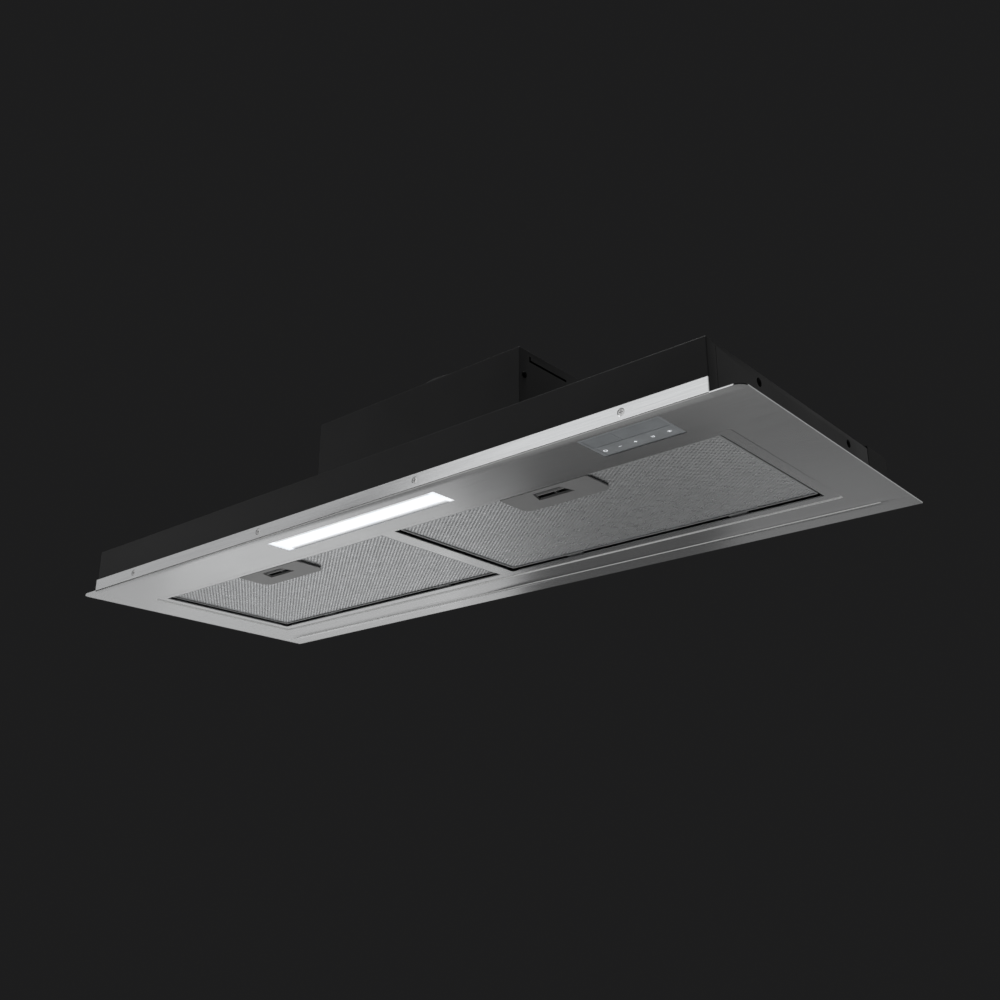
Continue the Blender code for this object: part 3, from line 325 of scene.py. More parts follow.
def litDiffuser(name, strength, middle=None):
    # opal plastic. A middle, as (y, half width, strength at the edge), is its brightest line, over the lamps
    material, tree, shader = newMaterial(name, (0.86, 0.87, 0.88), 0.35)
    cloud = grain(tree, 40, 2)
    glow = ramp(tree, cloud.outputs["Fac"], (0.90, 0.94, 1.0), (1.0, 1.0, 1.0))
    tree.links.new(glow.outputs["Color"], shader.inputs["Emission Color"])
    shader.inputs["Emission Strength"].default_value = strength
    if middle:
        place = tree.nodes.new("ShaderNodeTexCoord")
        split = tree.nodes.new("ShaderNodeSeparateXYZ")
        tree.links.new(place.outputs["Object"], split.inputs["Vector"])
        away = mathNode(tree, "ABSOLUTE", mathNode(tree, "SUBTRACT", split.outputs["Y"], middle[0]))
        fade = tree.nodes.new("ShaderNodeMapRange")
        fade.interpolation_type = "SMOOTHSTEP"
        fade.inputs["From Min"].default_value = middle[1] * 0.45
        fade.inputs["From Max"].default_value = middle[1]
        fade.inputs["To Min"].default_value = strength
        fade.inputs["To Max"].default_value = middle[2]
        tree.links.new(away, fade.inputs["Value"])
        tree.links.new(fade.outputs["Result"], shader.inputs["Emission Strength"])
    bump(tree, grain(tree, 1500, 1).outputs["Fac"], shader, 0.05, 0.00003)
    return material


def windowPlastic(name, colour, roughness):
    material, tree, shader = newMaterial(name, colour, roughness)
    shader.inputs["Coat Weight"].default_value = 0.6
    shader.inputs["Coat Roughness"].default_value = 0.08
    cloud = grain(tree, 60, 3)
    tinted(tree, cloud.outputs["Fac"], shader, colour, 0.92, 1.08)
    bump(tree, cloud.outputs["Fac"], shader, 0.04, 0.00005)
    return material


def solderMask(name, colour, trace):
    material, tree, shader = newMaterial(name, colour, 0.35)
    lines = grain(tree, 240, 0, (1, 0.25, 1))
    tint = ramp(tree, lines.outputs["Fac"], colour, trace, 0.52, 0.56)
    tree.links.new(tint.outputs["Color"], shader.inputs["Base Color"])
    bump(tree, lines.outputs["Fac"], shader, 0.2, 0.00005)
    return material


# the lighter colour given here is a painted highlight on the underside's bends, slopes and bead
panelSteel = brushedSteel("panelSteel", roughness=(0.16, 0.22), pressed=(0.84, 0.845, 0.85))
screwSteel = brushedSteel("screwSteel", (0.5, 0.5, 0.5), (0.2, 0.32), "Z")
bodyBlack = powderCoat("bodyBlack")
# coverBlack is the black paint made darker and duller than the body's, painted shade on the rear cover; the
# pan screws share it
coverBlack = powderCoat("coverBlack", (0.008, 0.008, 0.0085), (0.38, 0.5), 0.03)
innerBlack = mouldedPlastic("innerBlack", (0.022, 0.022, 0.023))
collarBlack = mouldedPlastic("collarBlack", (0.028, 0.028, 0.029), (0.4, 0.55))
zincSheet = rolledMetal("zincSheet", (0.48, 0.49, 0.50))
motorMetal = rolledMetal("motorMetal", (0.42, 0.43, 0.44), (0.35, 0.5), 60)
wireMetal = rolledMetal("wireMetal", (0.55, 0.56, 0.57), (0.2, 0.3), 80)
frameAluminium = rolledMetal("frameAluminium", (0.56, 0.57, 0.58), (0.3, 0.42))
meshAluminium = rolledMetal("meshAluminium", (0.74, 0.75, 0.765), (0.24, 0.34), 140, depth=0.000008)
# dark grey for the layer behind the mesh openings, painted shade seen through them
liningGrey = rolledMetal("liningGrey", (0.22, 0.223, 0.227), (0.42, 0.52), 140, depth=0.000008)
packAluminium = rolledMetal("packAluminium", (0.80, 0.805, 0.81), (0.4, 0.55), 90)
handleGrey = mouldedPlastic("handleGrey", (0.33, 0.33, 0.335), (0.30, 0.40))
lensGlow = litDiffuser("lensGlow", 0.85, (centreOf("light_lens").y, 15 * mm, 0.3))
fasciaSilver = windowPlastic("fasciaSilver", (0.46, 0.49, 0.52), 0.28)
keySilver = windowPlastic("keySilver", (0.49, 0.52, 0.55), 0.26)
windowSmoke = windowPlastic("windowSmoke", (0.44, 0.47, 0.50), 0.18)
markWhite = litDiffuser("markWhite", 0.9)
boardGreen = solderMask("boardGreen", (0.015, 0.09, 0.04), (0.04, 0.17, 0.07))
boardWhite = solderMask("boardWhite", (0.80, 0.80, 0.78), (0.70, 0.69, 0.62))
creamPlastic = mouldedPlastic("creamPlastic", (0.66, 0.63, 0.54))
print("materials made")


def newTree(name, inputs):
    tree = bpy.data.node_groups.new(name, "GeometryNodeTree")
    tree.interface.new_socket("Geometry", in_out="INPUT", socket_type="NodeSocketGeometry")
    for label, kind in inputs:
        tree.interface.new_socket(label, in_out="INPUT", socket_type="NodeSocket" + kind)
    tree.interface.new_socket("Geometry", in_out="OUTPUT", socket_type="NodeSocketGeometry")
    return tree, tree.nodes.new("NodeGroupInput"), tree.nodes.new("NodeGroupOutput")


def join(tree, *sources):
    node = tree.nodes.new("GeometryNodeJoinGeometry")
    for source in sources:
        tree.links.new(source, node.inputs[0])
    return node.outputs[0]


def closeTree(tree, group, geometry, output):
    realise = tree.nodes.new("GeometryNodeRealizeInstances")
    paint = tree.nodes.new("GeometryNodeSetMaterial")
    tree.links.new(geometry, realise.inputs[0])
    tree.links.new(realise.outputs[0], paint.inputs["Geometry"])
    tree.links.new(group.outputs["Material"], paint.inputs["Material"])
    tree.links.new(paint.outputs[0], output.inputs[0])


def latticeTree():
    # two grids of points, the second in the middle of the first one's cells, with a cell on each point
    tree, group, output = newTree("meshLattice", (
        ("Cell", "Object"), ("Pitch X", "Float"), ("Pitch Y", "Float"), ("Count X", "Int"), ("Count Y", "Int"),
        ("Material", "Material")))
    info = tree.nodes.new("GeometryNodeObjectInfo")
    tree.links.new(group.outputs["Cell"], info.inputs["Object"])
    grids = []
    for shift in (0, 1):
        grid = tree.nodes.new("GeometryNodeMeshGrid")
        for axis in "XY":
            steps = mathNode(tree, "SUBTRACT", group.outputs["Count " + axis], 1)
            size = mathNode(tree, "MULTIPLY", steps, group.outputs["Pitch " + axis])
            tree.links.new(size, grid.inputs["Size " + axis])
            tree.links.new(group.outputs["Count " + axis], grid.inputs["Vertices " + axis])
        move = tree.nodes.new("GeometryNodeTransform")
        tree.links.new(grid.outputs["Mesh"], move.inputs["Geometry"])
        if shift:
            half = tree.nodes.new("ShaderNodeCombineXYZ")
            for axis in "XY":
                halfPitch = mathNode(tree, "MULTIPLY", group.outputs["Pitch " + axis], 0.5)
                tree.links.new(halfPitch, half.inputs[axis])
            tree.links.new(half.outputs[0], move.inputs["Translation"])
        grids.append(move.outputs["Geometry"])
    spots = join(tree, *grids)
    place = tree.nodes.new("GeometryNodeInstanceOnPoints")
    tree.links.new(spots, place.inputs["Points"])
    tree.links.new(info.outputs["Geometry"], place.inputs["Instance"])
    closeTree(tree, group, place.outputs["Instances"], output)
    return tree


def spotsTree():
    # one copy on each point of the carrier mesh
    tree, group, output = newTree("copiesOnSpots", (("Copy", "Object"), ("Material", "Material")))
    info = tree.nodes.new("GeometryNodeObjectInfo")
    place = tree.nodes.new("GeometryNodeInstanceOnPoints")
    tree.links.new(group.outputs["Copy"], info.inputs["Object"])
    tree.links.new(group.outputs["Geometry"], place.inputs["Points"])
    tree.links.new(info.outputs["Geometry"], place.inputs["Instance"])
    closeTree(tree, group, place.outputs["Instances"], output)
    return tree


def ringTree():
    # copies turned round the X axis, such as blades round a wheel
    tree, group, output = newTree("copiesInRing", (("Copy", "Object"), ("Count", "Int"), ("Centre", "Vector"),
                                                   ("Material", "Material")))
    info = tree.nodes.new("GeometryNodeObjectInfo")
    line = tree.nodes.new("GeometryNodeMeshLine")
    place = tree.nodes.new("GeometryNodeInstanceOnPoints")
    index = tree.nodes.new("GeometryNodeInputIndex")
    step = mathNode(tree, "DIVIDE", 2 * math.pi, group.outputs["Count"])
    turn = mathNode(tree, "MULTIPLY", index.outputs[0], step)
    spin = tree.nodes.new("ShaderNodeCombineXYZ")
    move = tree.nodes.new("GeometryNodeTransform")
    line.inputs["Offset"].default_value = (0, 0, 0)
    tree.links.new(group.outputs["Copy"], info.inputs["Object"])
    tree.links.new(group.outputs["Count"], line.inputs["Count"])
    tree.links.new(turn, spin.inputs["X"])
    tree.links.new(line.outputs["Mesh"], place.inputs["Points"])
    tree.links.new(info.outputs["Geometry"], place.inputs["Instance"])
    tree.links.new(spin.outputs[0], place.inputs["Rotation"])
    tree.links.new(place.outputs["Instances"], move.inputs["Geometry"])
    tree.links.new(group.outputs["Centre"], move.inputs["Translation"])
    closeTree(tree, group, move.outputs["Geometry"], output)
    return tree


lattice, copiesOnSpots, copiesInRing = latticeTree(), spotsTree(), ringTree()


def grow(name, tree, values, carrier=None, smoothAngle=35):
    # runs a node tree on a carrier mesh and keeps its result as a plain mesh
    mesh = bpy.data.meshes.new(name)
    mesh.from_pydata(carrier or [(0, 0, 0)], [], [])
    piece = bpy.data.objects.new(name, mesh)
    bpy.context.scene.collection.objects.link(piece)
    modifier = piece.modifiers.new("grow", "NODES")
    modifier.node_group = tree
    sockets = {s.name: s.identifier for s in tree.interface.items_tree if s.in_out == "INPUT"}
    for label, value in values.items():
        modifier[sockets[label]] = value
    evaluated(piece)
    if smoothAngle:
        sharpen(piece, smoothAngle)
    return piece


def dropHelper(helper):
    bpy.data.objects.remove(helper)


panelValues = {
    "sheet": 1.2 * mm, "bend": 1.3 * mm, "cornerRadius": 9 * mm, "ledge": 13 * mm, "ledgeFront": 8 * mm,
    "recessRun": 1.6 * mm, "recessRise": 1.0 * mm, "recessCorner": 2.5 * mm, "crossbar": 18 * mm,
    "filterGap": 3.5 * mm, "frontGap": 3.5 * mm, "beadFromBack": 28 * mm, "beadWidth": 3.2 * mm,
    "beadDepth": 0.55 * mm, "lightHole": (240 * mm, 30.5 * mm), "controlHole": (80 * mm, 42 * mm),
    "gridX": 30 * mm, "gridY": 20 * mm, "sinkRadius": 3.5 * mm, "sinkEdge": 0.05 * mm,
    "screwHole": 1.9 * mm, "sinkDepth": 1.3 * mm,
}
panelLow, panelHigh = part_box("bottom_panel")
bodyLow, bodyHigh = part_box("body_shell")
filterLow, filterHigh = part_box("filter_frame_right")
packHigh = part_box("filter_pack_right")[1]
filterBack = packHigh.y + 1.1 * mm
lensCentre, controlCentre = centreOf("light_lens"), centreOf("control_fascia")
bayX = filterHigh.x + panelValues["filterGap"]
bayFront, bayBack = filterLow.y - panelValues["frontGap"], filterBack + panelValues["filterGap"]
recessX = bayX + panelValues["ledge"]
recessFront, recessBack = bayFront - panelValues["ledgeFront"], bayBack + panelValues["ledge"]


def holeAround(centre, size):
    return (centre.x - size[0] / 2, centre.x + size[0] / 2, centre.y - size[1] / 2, centre.y + size[1] / 2)


panelHoles = [
    (panelValues["crossbar"] / 2, bayX, bayFront, bayBack),
    (-bayX, -panelValues["crossbar"] / 2, bayFront, bayBack),
    holeAround(lensCentre, panelValues["lightHole"]),
    holeAround(controlCentre, panelValues["controlHole"]),
]


def panelHeight(x, y):
    v = panelValues
    centreY, halfY = (recessFront + recessBack) / 2, (recessBack - recessFront) / 2
    dx = abs(x) - (recessX - v["recessCorner"])
    dy = abs(y - centreY) - (halfY - v["recessCorner"])
    outside = math.hypot(max(dx, 0), max(dy, 0)) + min(max(dx, dy), 0) - v["recessCorner"]
    t = min(1, max(0, -outside / v["recessRun"]))
    height = v["recessRise"] * t * t * (3 - 2 * t)
    bead = (y - (panelHigh.y - v["beadFromBack"])) / (v["beadWidth"] / 2)
    if abs(bead) < 1 and abs(x) < bodyHigh.x:
        height = v["beadDepth"] * (1 + math.cos(math.pi * bead)) / 2
    return height


def gridLines(low, high, coarse, dense):
    # evenly spaced lines, and closer ones on both sides of each (centre, reach, steps)
    lines = {low, high}
    count = round((high - low) / coarse)
    lines |= {low + (high - low) * i / count for i in range(1, count)}
    for centre, reach, steps in dense:
        lines |= {centre - reach + 2 * reach * i / steps for i in range(steps + 1)}
    kept = []
    for line in sorted(lines):
        if low <= line <= high and (not kept or line - kept[-1] > 0.12 * mm):
            kept.append(line)
    return kept


def withEdges(lines, edges):
    # each edge replaces the lines that are too close to it
    kept = [line for line in lines if all(abs(line - edge) > 0.3 * mm for edge in edges)]
    return sorted(set(kept + list(edges)))


def makePanel():
    v = panelValues
    run = v["recessRun"]
    xs = gridLines(panelLow.x, panelHigh.x, v["gridX"],
                   [(side * (recessX - run / 2), 1.5 * run, 12) for side in (-1, 1)])
    xs = withEdges(xs, [edge for hole in panelHoles for edge in hole[:2]]
                   + [-bodyHigh.x, bodyHigh.x, panelLow.x, panelHigh.x])
    ys = gridLines(panelLow.y + v["bend"], panelHigh.y, v["gridY"],
                   [(recessFront + run / 2, 1.5 * run, 12), (recessBack - run / 2, 1.5 * run, 12),
                    (panelHigh.y - v["beadFromBack"], v["beadWidth"] / 2, 8)])
    ys = withEdges(ys, [edge for hole in panelHoles for edge in hole[2:]]
                   + [panelLow.y + v["bend"], panelHigh.y])
    steps = 5
    bends = [math.radians(90 * i / steps) for i in range(steps)]
    lipRows = [(panelLow.y, panelHigh.z)]
    lipRows += [(panelLow.y + v["bend"] * (1 - math.cos(a)), v["bend"] * (1 - math.sin(a))) for a in bends]
    flatRows = [None] + [panelLow.y + v["bend"] * i / steps for i in range(steps)]
    bm = bmesh.new()
    made = {}

    def corner(x, row, bent):
        if row < len(lipRows):
            if bent:
                y, z = lipRows[row]
            else:
                y, z = flatRows[row], 0.0
            key = (x, row, bent)
        else:
            y = ys[row - len(lipRows)]
            z = panelHeight(x, y)
            key = (x, row, True)
        if key not in made:
            made[key] = bm.verts.new((x, y, z))
        return made[key]

    for left, right in zip(xs, xs[1:]):
        middle = (left + right) / 2
        bent = abs(middle) < bodyHigh.x
        for row in range(len(lipRows) + len(ys) - 1):
            if row == 0 and not bent:
                continue
            if row >= len(lipRows):
                y = (ys[row - len(lipRows)] + ys[row + 1 - len(lipRows)]) / 2
                if any(h[0] < middle < h[1] and h[2] < y < h[3] for h in panelHoles):
                    continue
            bm.faces.new((corner(left, row, bent), corner(left, row + 1, bent),
                          corner(right, row + 1, bent), corner(right, row, bent)))
    panel = finishPiece("bottomPanel", bm, panelSteel, recalc=False)
    sheetWall(panel, v["sheet"])
    outline = bmesh.new()
    prism(outline, roundedOutline((panelLow.x, panelLow.y), (panelHigh.x, panelHigh.y),
                                  (v["cornerRadius"], v["cornerRadius"], 0, 0), 10), -10 * mm, 30 * mm)
    boolean(panel, outline, "INTERSECT")
    holes = bmesh.new()
    wide, narrow = v["sinkRadius"], v["screwHole"]
    sink = [(0, -1 * mm), (wide, -1 * mm), (wide, v["sinkEdge"]),
            (narrow, v["sinkDepth"]), (narrow, 3 * mm), (0, 3 * mm)]
    for spot in screwSpots:
        turned(holes, sink, (spot.x, panelLow.y, spot.z), "Y", 24)
    boolean(panel, holes)
    sharpen(panel, 28)
    # painted highlight: slanted faces of the underside's front bend, recess slopes and bead are marked for the
    # lighter steel colour
    pressed = panel.data.attributes.new("pressed", "FLOAT", "FACE")
    for face in panel.data.polygons:
        onUnderside = face.center.z < v["sinkDepth"] and abs(face.center.x) < bodyHigh.x
        pressed.data[face.index].value = 1.0 if onUnderside and -0.985 < face.normal.z < -0.1 else 0.0
    settle(panel, "hood", "brushed_stainless", "bottom_panel")


lipScrewNodes = ["lip_screw_%d" % i for i in (1, 2, 3, 4)]
screwSpots = [centreOf(node) for node in lipScrewNodes]
makePanel()
print("bottom panel made")


screwValues = {
    "headRadius": 3.2 * mm, "headDepth": 1.3 * mm, "shank": 1.6 * mm, "length": 4.6 * mm,
    "cross": 0.55 * mm, "crossReach": 1.7 * mm, "panRadius": 3.4 * mm, "panHeight": 1.9 * mm,
    "bodyX": (-0.36, -0.24, 0.24, 0.36), "bodyIn": 9 * mm, "boxX": (-0.138, -0.07, 0.07, 0.138),
    "boxIn": 8 * mm, "boxZ": (0.066, 0.146),
}


def crossCutter(reach, half, top, bottom):
    bm = bmesh.new()
    prism(bm, crossOutline(reach, half), bottom, top)
    return bm


def countersunkScrew():
    # points along -Z at its head, so that a turn about X puts the head to the front
    v = screwValues
    bm = bmesh.new()
    head, shank = v["headRadius"], v["shank"]
    turned(bm, [(0, -0.10 * mm), (shank, -0.12 * mm), (head, -0.30 * mm), (head, -0.42 * mm),
                (shank, -v["headDepth"]), (shank, -v["length"]), (0, -v["length"])], (0, 0, 0), "Z", 24)
    screw = finishPiece("countersunkScrew", bm, None)
    boolean(screw, crossCutter(v["crossReach"], v["cross"] / 2, 1 * mm, -0.75 * mm))
    screw.data.transform(Matrix.Rotation(math.radians(90), 4, "X"))
    return screw


def panScrew():
    v = screwValues
    dome = [(0, v["panHeight"])] + [(v["panRadius"] * math.sin(a), v["panHeight"] * math.cos(a) ** 0.7)
                                    for a in (0.4, 0.8, 1.15, 1.45)] + [(v["panRadius"], 0), (0, 0)]
    bm = bmesh.new()
    turned(bm, dome, (0, 0, 0), "Z", 16)
    screw = finishPiece("panScrew", bm, None)
    boolean(screw, crossCutter(v["crossReach"], v["cross"] / 2, 3 * mm, 0.9 * mm))
    return screw


def makeLipScrews():
    screw = countersunkScrew()
    spots = [(spot.x, panelLow.y, spot.z) for spot in screwSpots]
    screws = grow("lipScrews", copiesOnSpots, {"Copy": screw, "Material": screwSteel}, spots)
    settle(screws, "hood", "zinc_steel", *lipScrewNodes)
    dropHelper(screw)


def turnedCopy(source, name, turn):
    copy = bpy.data.objects.new(name, source.data.copy())
    copy.data.transform(turn)
    bpy.context.scene.collection.objects.link(copy)
    return copy


def makePanScrews():
    # small dark screws on the body and the fan box
    v = screwValues
    up = panScrew()
    boxLow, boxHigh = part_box("motor_box")
    boxRows = (boxLow.y + v["boxIn"], boxHigh.y - v["boxIn"])
    bodyRows = (bodyLow.y + v["bodyIn"], bodyHigh.y - v["bodyIn"])
    top = [(x, y, bodyHigh.z) for x in v["bodyX"] for y in bodyRows]
    top += [(x, y, boxHigh.z) for x in v["boxX"] for y in boxRows]
    sides = []
    for turn, name, spots in ((0, "Top", top),
                              (90, "Right", [(boxHigh.x, y, z) for y in boxRows for z in v["boxZ"]]),
                              (-90, "Left", [(boxLow.x, y, z) for y in boxRows for z in v["boxZ"]])):
        copy = turnedCopy(up, "panScrew" + name, Matrix.Rotation(math.radians(turn), 4, "Y"))
        piece = grow("bodyScrews" + name, copiesOnSpots, {"Copy": copy, "Material": coverBlack}, spots)
        settle(piece, "hood", "black_paint")
        sides.append(copy)
    for helper in sides + [up]:
        dropHelper(helper)


makeLipScrews()
makePanScrews()
print("screws made")


shellValues = {
    "wall": 1.0 * mm, "edge": 1.1 * mm, "seam": 0.5 * mm, "seamDepth": 0.35 * mm, "seamIn": 14 * mm,
    "topHoleIn": 10 * mm, "fixingRadius": 4 * mm, "fixingSpots": (83.5 * mm, 251 * mm),
    "fixingHeight": 40 * mm, "ventLength": 62 * mm, "ventHeight": 2.5 * mm, "ventFromFront": 16 * mm,
    "ventBelowTop": 11 * mm, "coverRadius": 10 * mm, "collarHole": 60.6 * mm, "glandHole": 8.3 * mm,
    "hookRise": 5 * mm, "seamFoot": 4 * mm, "seamHead": 46 * mm, "through": 3 * mm,
}


def foldedShell(name, low, high, material):
    # a box open at its bottom, folded from sheet
    v = shellValues
    bm = bmesh.new()
    faces = block(bm, low, high)
    bottom = min(faces, key=lambda f: f.calc_center_median().z)
    bmesh.ops.delete(bm, geom=[bottom], context="FACES_ONLY")
    bm.normal_update()
    bmesh.ops.recalc_face_normals(bm, faces=bm.faces)
    folds = [e for e in bm.edges if len(e.link_faces) == 2]
    bmesh.ops.bevel(bm, geom=folds, offset=v["edge"], segments=3, affect="EDGES", profile=0.5)
    shell = finishPiece(name, bm, material)
    centre = (Vector(low) + Vector(high)) / 2
    if shell.data.polygons[0].normal.dot(shell.data.polygons[0].center - centre) < 0:
        shell.data.flip_normals()
    return sheetWall(shell, v["wall"])


def topSeam(end, low, high):
    # a shallow groove across a shell's top, beside one end wall
    v = shellValues
    x = end - math.copysign(v["seamIn"], end)
    return ((x - v["seam"] / 2, low.y + 3 * mm, high.z - v["seamDepth"]),
            (x + v["seam"] / 2, high.y - 3 * mm, high.z + 1 * mm))


def makeBody():
    v = shellValues
    boxLow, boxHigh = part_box("motor_box")
    body = foldedShell("bodyShell", bodyLow, bodyHigh, bodyBlack)
    cutBlocks(body, ((boxLow.x + v["topHoleIn"], boxLow.y + v["topHoleIn"], 0.04),
                     (boxHigh.x - v["topHoleIn"], boxHigh.y - v["topHoleIn"], 0.06)))
    holes = bmesh.new()
    for side in (-1, 1):
        for inset in v["fixingSpots"]:
            rod(holes, v["fixingRadius"], -v["through"], v["through"],
                (side * bodyHigh.x, panelLow.y + inset, v["fixingHeight"]), "X", 32)
    boolean(body, holes)
    # the folded flanges of the end walls show as shallow steps in the top and the front
    seams = []
    y = bodyLow.y + v["seamIn"]
    for end in (-bodyHigh.x, bodyHigh.x):
        seams.append(topSeam(end, bodyLow, bodyHigh))
        seams.append(((end - v["seamDepth"], y - v["seam"] / 2, v["seamFoot"]),
                      (end + v["seamDepth"], y + v["seam"] / 2, v["seamHead"])))
    cutBlocks(body, *seams)
    settle(sharpen(body), "hood", "black_paint", "body_shell")


def makeRearCover():
    v = shellValues
    low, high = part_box("rear_spacer")
    r = v["coverRadius"]
    bm = bmesh.new()
    section = [(high.y, low.z), *arcPoints((high.y - r, high.z - r), r, 0, 90, 10), (low.y, high.z)]
    rings = [[bm.verts.new((x, y, z)) for y, z in section] for x in (low.x, high.x)]
    for i in range(len(section) - 1):
        bm.faces.new((rings[0][i], rings[1][i], rings[1][i + 1], rings[0][i + 1]))
    for ring, x in zip(rings, (low.x, high.x)):
        foot = bm.verts.new((x, low.y, low.z))
        bm.faces.new(ring + [foot])
    bmesh.ops.recalc_face_normals(bm, faces=bm.faces)
    # the cover's darker, duller black is painted shade
    cover = finishPiece("rearCover", bm, coverBlack)
    top = max(cover.data.polygons, key=lambda p: p.center.z)
    if top.normal.z < 0:
        cover.data.flip_normals()
    sheetWall(cover, v["wall"])
    settle(sharpen(cover), "hood", "black_paint", "rear_spacer")


def makeFanBox():
    v = shellValues
    low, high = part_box("motor_box")
    outlet, gland = centreOf("outlet_collar"), centreOf("cable_gland")
    fanBox = foldedShell("fanBox", low, high, bodyBlack)
    # each side wall has a long slot with a short upright one at its front end
    front, out = low.y + v["ventFromFront"], v["through"]
    z, half = high.z - v["ventBelowTop"], v["ventHeight"] / 2
    for back, bottom, top in ((front + v["ventLength"], z - half, z + half),
                              (front + v["ventHeight"], z, z + v["hookRise"])):
        cutBlocks(fanBox, *[((x - out, front, bottom), (x + out, back, top)) for x in (low.x, high.x)])
    holes = bmesh.new()
    rod(holes, v["collarHole"], -out, out, (outlet.x, outlet.y, high.z), "Z", 64)
    rod(holes, v["glandHole"], -out, out, (low.x, gland.y, gland.z), "X", 32)
    boolean(fanBox, holes)
    cutBlocks(fanBox, topSeam(low.x, low, high), topSeam(high.x, low, high))
    settle(sharpen(fanBox), "hood", "black_paint", "motor_box")


makeBody()
makeRearCover()
makeFanBox()
print("body made")


lightValues = {
    "recess": 0.9 * mm, "depth": 1.8 * mm, "gap": 0.25 * mm, "frontGap": 1.0 * mm, "endCap": 7.5 * mm,
    "capGap": 0.4 * mm, "capProud": 0.3 * mm, "capDepth": 2.3 * mm, "edge": 0.3 * mm, "corner": 0.6 * mm,
    "capCorner": 0.5 * mm, "chips": 24, "chipHalf": 1.7 * mm, "chipIn": 6 * mm,
}


def makeLight():
    v = lightValues
    x0, x1, y0, y1 = holeAround(lensCentre, panelValues["lightHole"])
    x0, x1, y0, y1 = x0 + v["gap"], x1 - v["gap"], y0 + v["frontGap"], y1 - v["gap"]
    bm = bmesh.new()
    prism(bm, roundedOutline((x0 + v["endCap"], y0), (x1 - v["endCap"], y1), (v["corner"],) * 4, 3),
          v["recess"], v["recess"] + v["depth"])
    softenEdges(bm, v["edge"])
    lens = finishPiece("lightLens", bm, lensGlow, 30)
    settle(lens, "hood", "light_diffuser", "light_lens")
    bm = bmesh.new()
    for low, high in ((x0, x0 + v["endCap"] - v["capGap"]), (x1 - v["endCap"] + v["capGap"], x1)):
        bottom = v["recess"] - v["capProud"]
        prism(bm, roundedOutline((low, y0), (high, y1), (v["capCorner"],) * 4, 3),
              bottom, bottom + v["capDepth"])
    softenEdges(bm, v["edge"])
    caps = finishPiece("lightEndCaps", bm, lensEnd, 30)
    settle(caps, "hood", "light_diffuser")
    boardLow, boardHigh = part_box("led_board")
    bm = bmesh.new()
    half = v["chipHalf"]
    block(bm, (-half, -half, -0.9 * mm), (half, half, -0.05 * mm))
    softenEdges(bm, 0.25 * mm, 1)
    chip = finishPiece("ledChip", bm, None)
    first, span = boardLow.x + v["chipIn"], boardHigh.x - boardLow.x - 2 * v["chipIn"]
    spots = [(first + span * i / (v["chips"] - 1), lensCentre.y, boardLow.z) for i in range(v["chips"])]
    chips = grow("ledChips", copiesOnSpots, {"Copy": chip, "Material": lensEnd}, spots)
    settle(chips, "hood", "light_diffuser")
    dropHelper(chip)


lensEnd = litDiffuser("lensEnd", 0.72)
makeLight()
print("light made")


controlValues = {
    "keyRadius": 0.9 * mm, "edge": 0.35 * mm, "lip": 1.0 * mm, "markHeight": 0.07 * mm,
    "markWidth": 0.55 * mm, "markSize": 2.0 * mm, "split": 0.385, "keyGap": 0.28 * mm,
    "backSlot": 1.7 * mm, "fasciaGap": 0.3 * mm, "windowGap": 0.25 * mm, "splitHalf": 0.2 * mm,
    "keyCorner": 0.4 * mm,
}


def roundedBlock(bm, low, high, radius, bottom, top, steps=3):
    prism(bm, roundedOutline(low, high, (radius,) * 4, steps), bottom, top)


def makeFascia():
    v = controlValues
    low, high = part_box("control_fascia")
    x0, x1, y0, y1 = holeAround(controlCentre, panelValues["controlHole"])
    bm = bmesh.new()
    roundedBlock(bm, (x0 + v["fasciaGap"], y0 + v["fasciaGap"]), (x1 - v["fasciaGap"], y1 - v["backSlot"]),
                 1.0 * mm, 0.05 * mm, high.z, 4)
    softenEdges(bm, v["edge"])
    fascia = finishPiece("controlFascia", bm, fasciaSilver)
    flange = bmesh.new()
    block(flange, (low.x, low.y, 1.5 * mm), (high.x, y1 - v["backSlot"], high.z))
    boolean(fascia, flange, "UNION")
    cuts = bmesh.new()
    edges, gap = keyEdges(), v["keyGap"]
    keyLow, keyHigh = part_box("key_power")
    roundedBlock(cuts, (edges[0] - gap, keyLow.y + v["lip"] - gap),
                 (edges[-1] + gap, keyHigh.y - v["lip"] + gap), v["keyRadius"], -1 * mm, 5 * mm)
    winLow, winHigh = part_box("indicator_window")
    gap = v["windowGap"]
    roundedBlock(cuts, (winLow.x - gap, winLow.y - gap), (winHigh.x + gap, winHigh.y + gap),
                 v["keyRadius"], -1 * mm, 5 * mm)
    boolean(fascia, cuts)
    settle(sharpen(fascia), "hood", "fascia_grey", "control_fascia")
    bm = bmesh.new()
    roundedBlock(bm, winLow.xy, winHigh.xy, v["keyRadius"], 0.35 * mm, winHigh.z)
    softenEdges(bm, v["edge"])
    window = finishPiece("indicatorWindow", bm, windowSmoke)
    cutBlocks(window, ((edges[2] - v["splitHalf"], winLow.y - 1 * mm, 0),
                       (edges[2] + v["splitHalf"], winHigh.y + 1 * mm, 0.75 * mm)))
    settle(sharpen(window), "hood", "indicator_glass", "indicator_window")


def keyEdges():
    # where the keys meet. The second edge lines up with the window's split
    lows, highs = zip(*(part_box(node) for node in keyNodes))
    edges = [lows[0].x] + [(a.x + b.x) / 2 for a, b in zip(highs, lows[1:])] + [highs[-1].x]
    winLow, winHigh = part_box("indicator_window")
    edges[2] = winLow.x + (winHigh.x - winLow.x) * controlValues["split"]
    return edges


def strokeInto(bm, a, b, width, low, high):
    along = (Vector(b) - Vector(a)).normalized()
    side = Vector((-along.y, along.x)) * width / 2
    outline = [Vector(a) - side, Vector(b) - side, Vector(b) + side, Vector(a) + side]
    prism(bm, [(p.x, p.y) for p in outline], low, high)


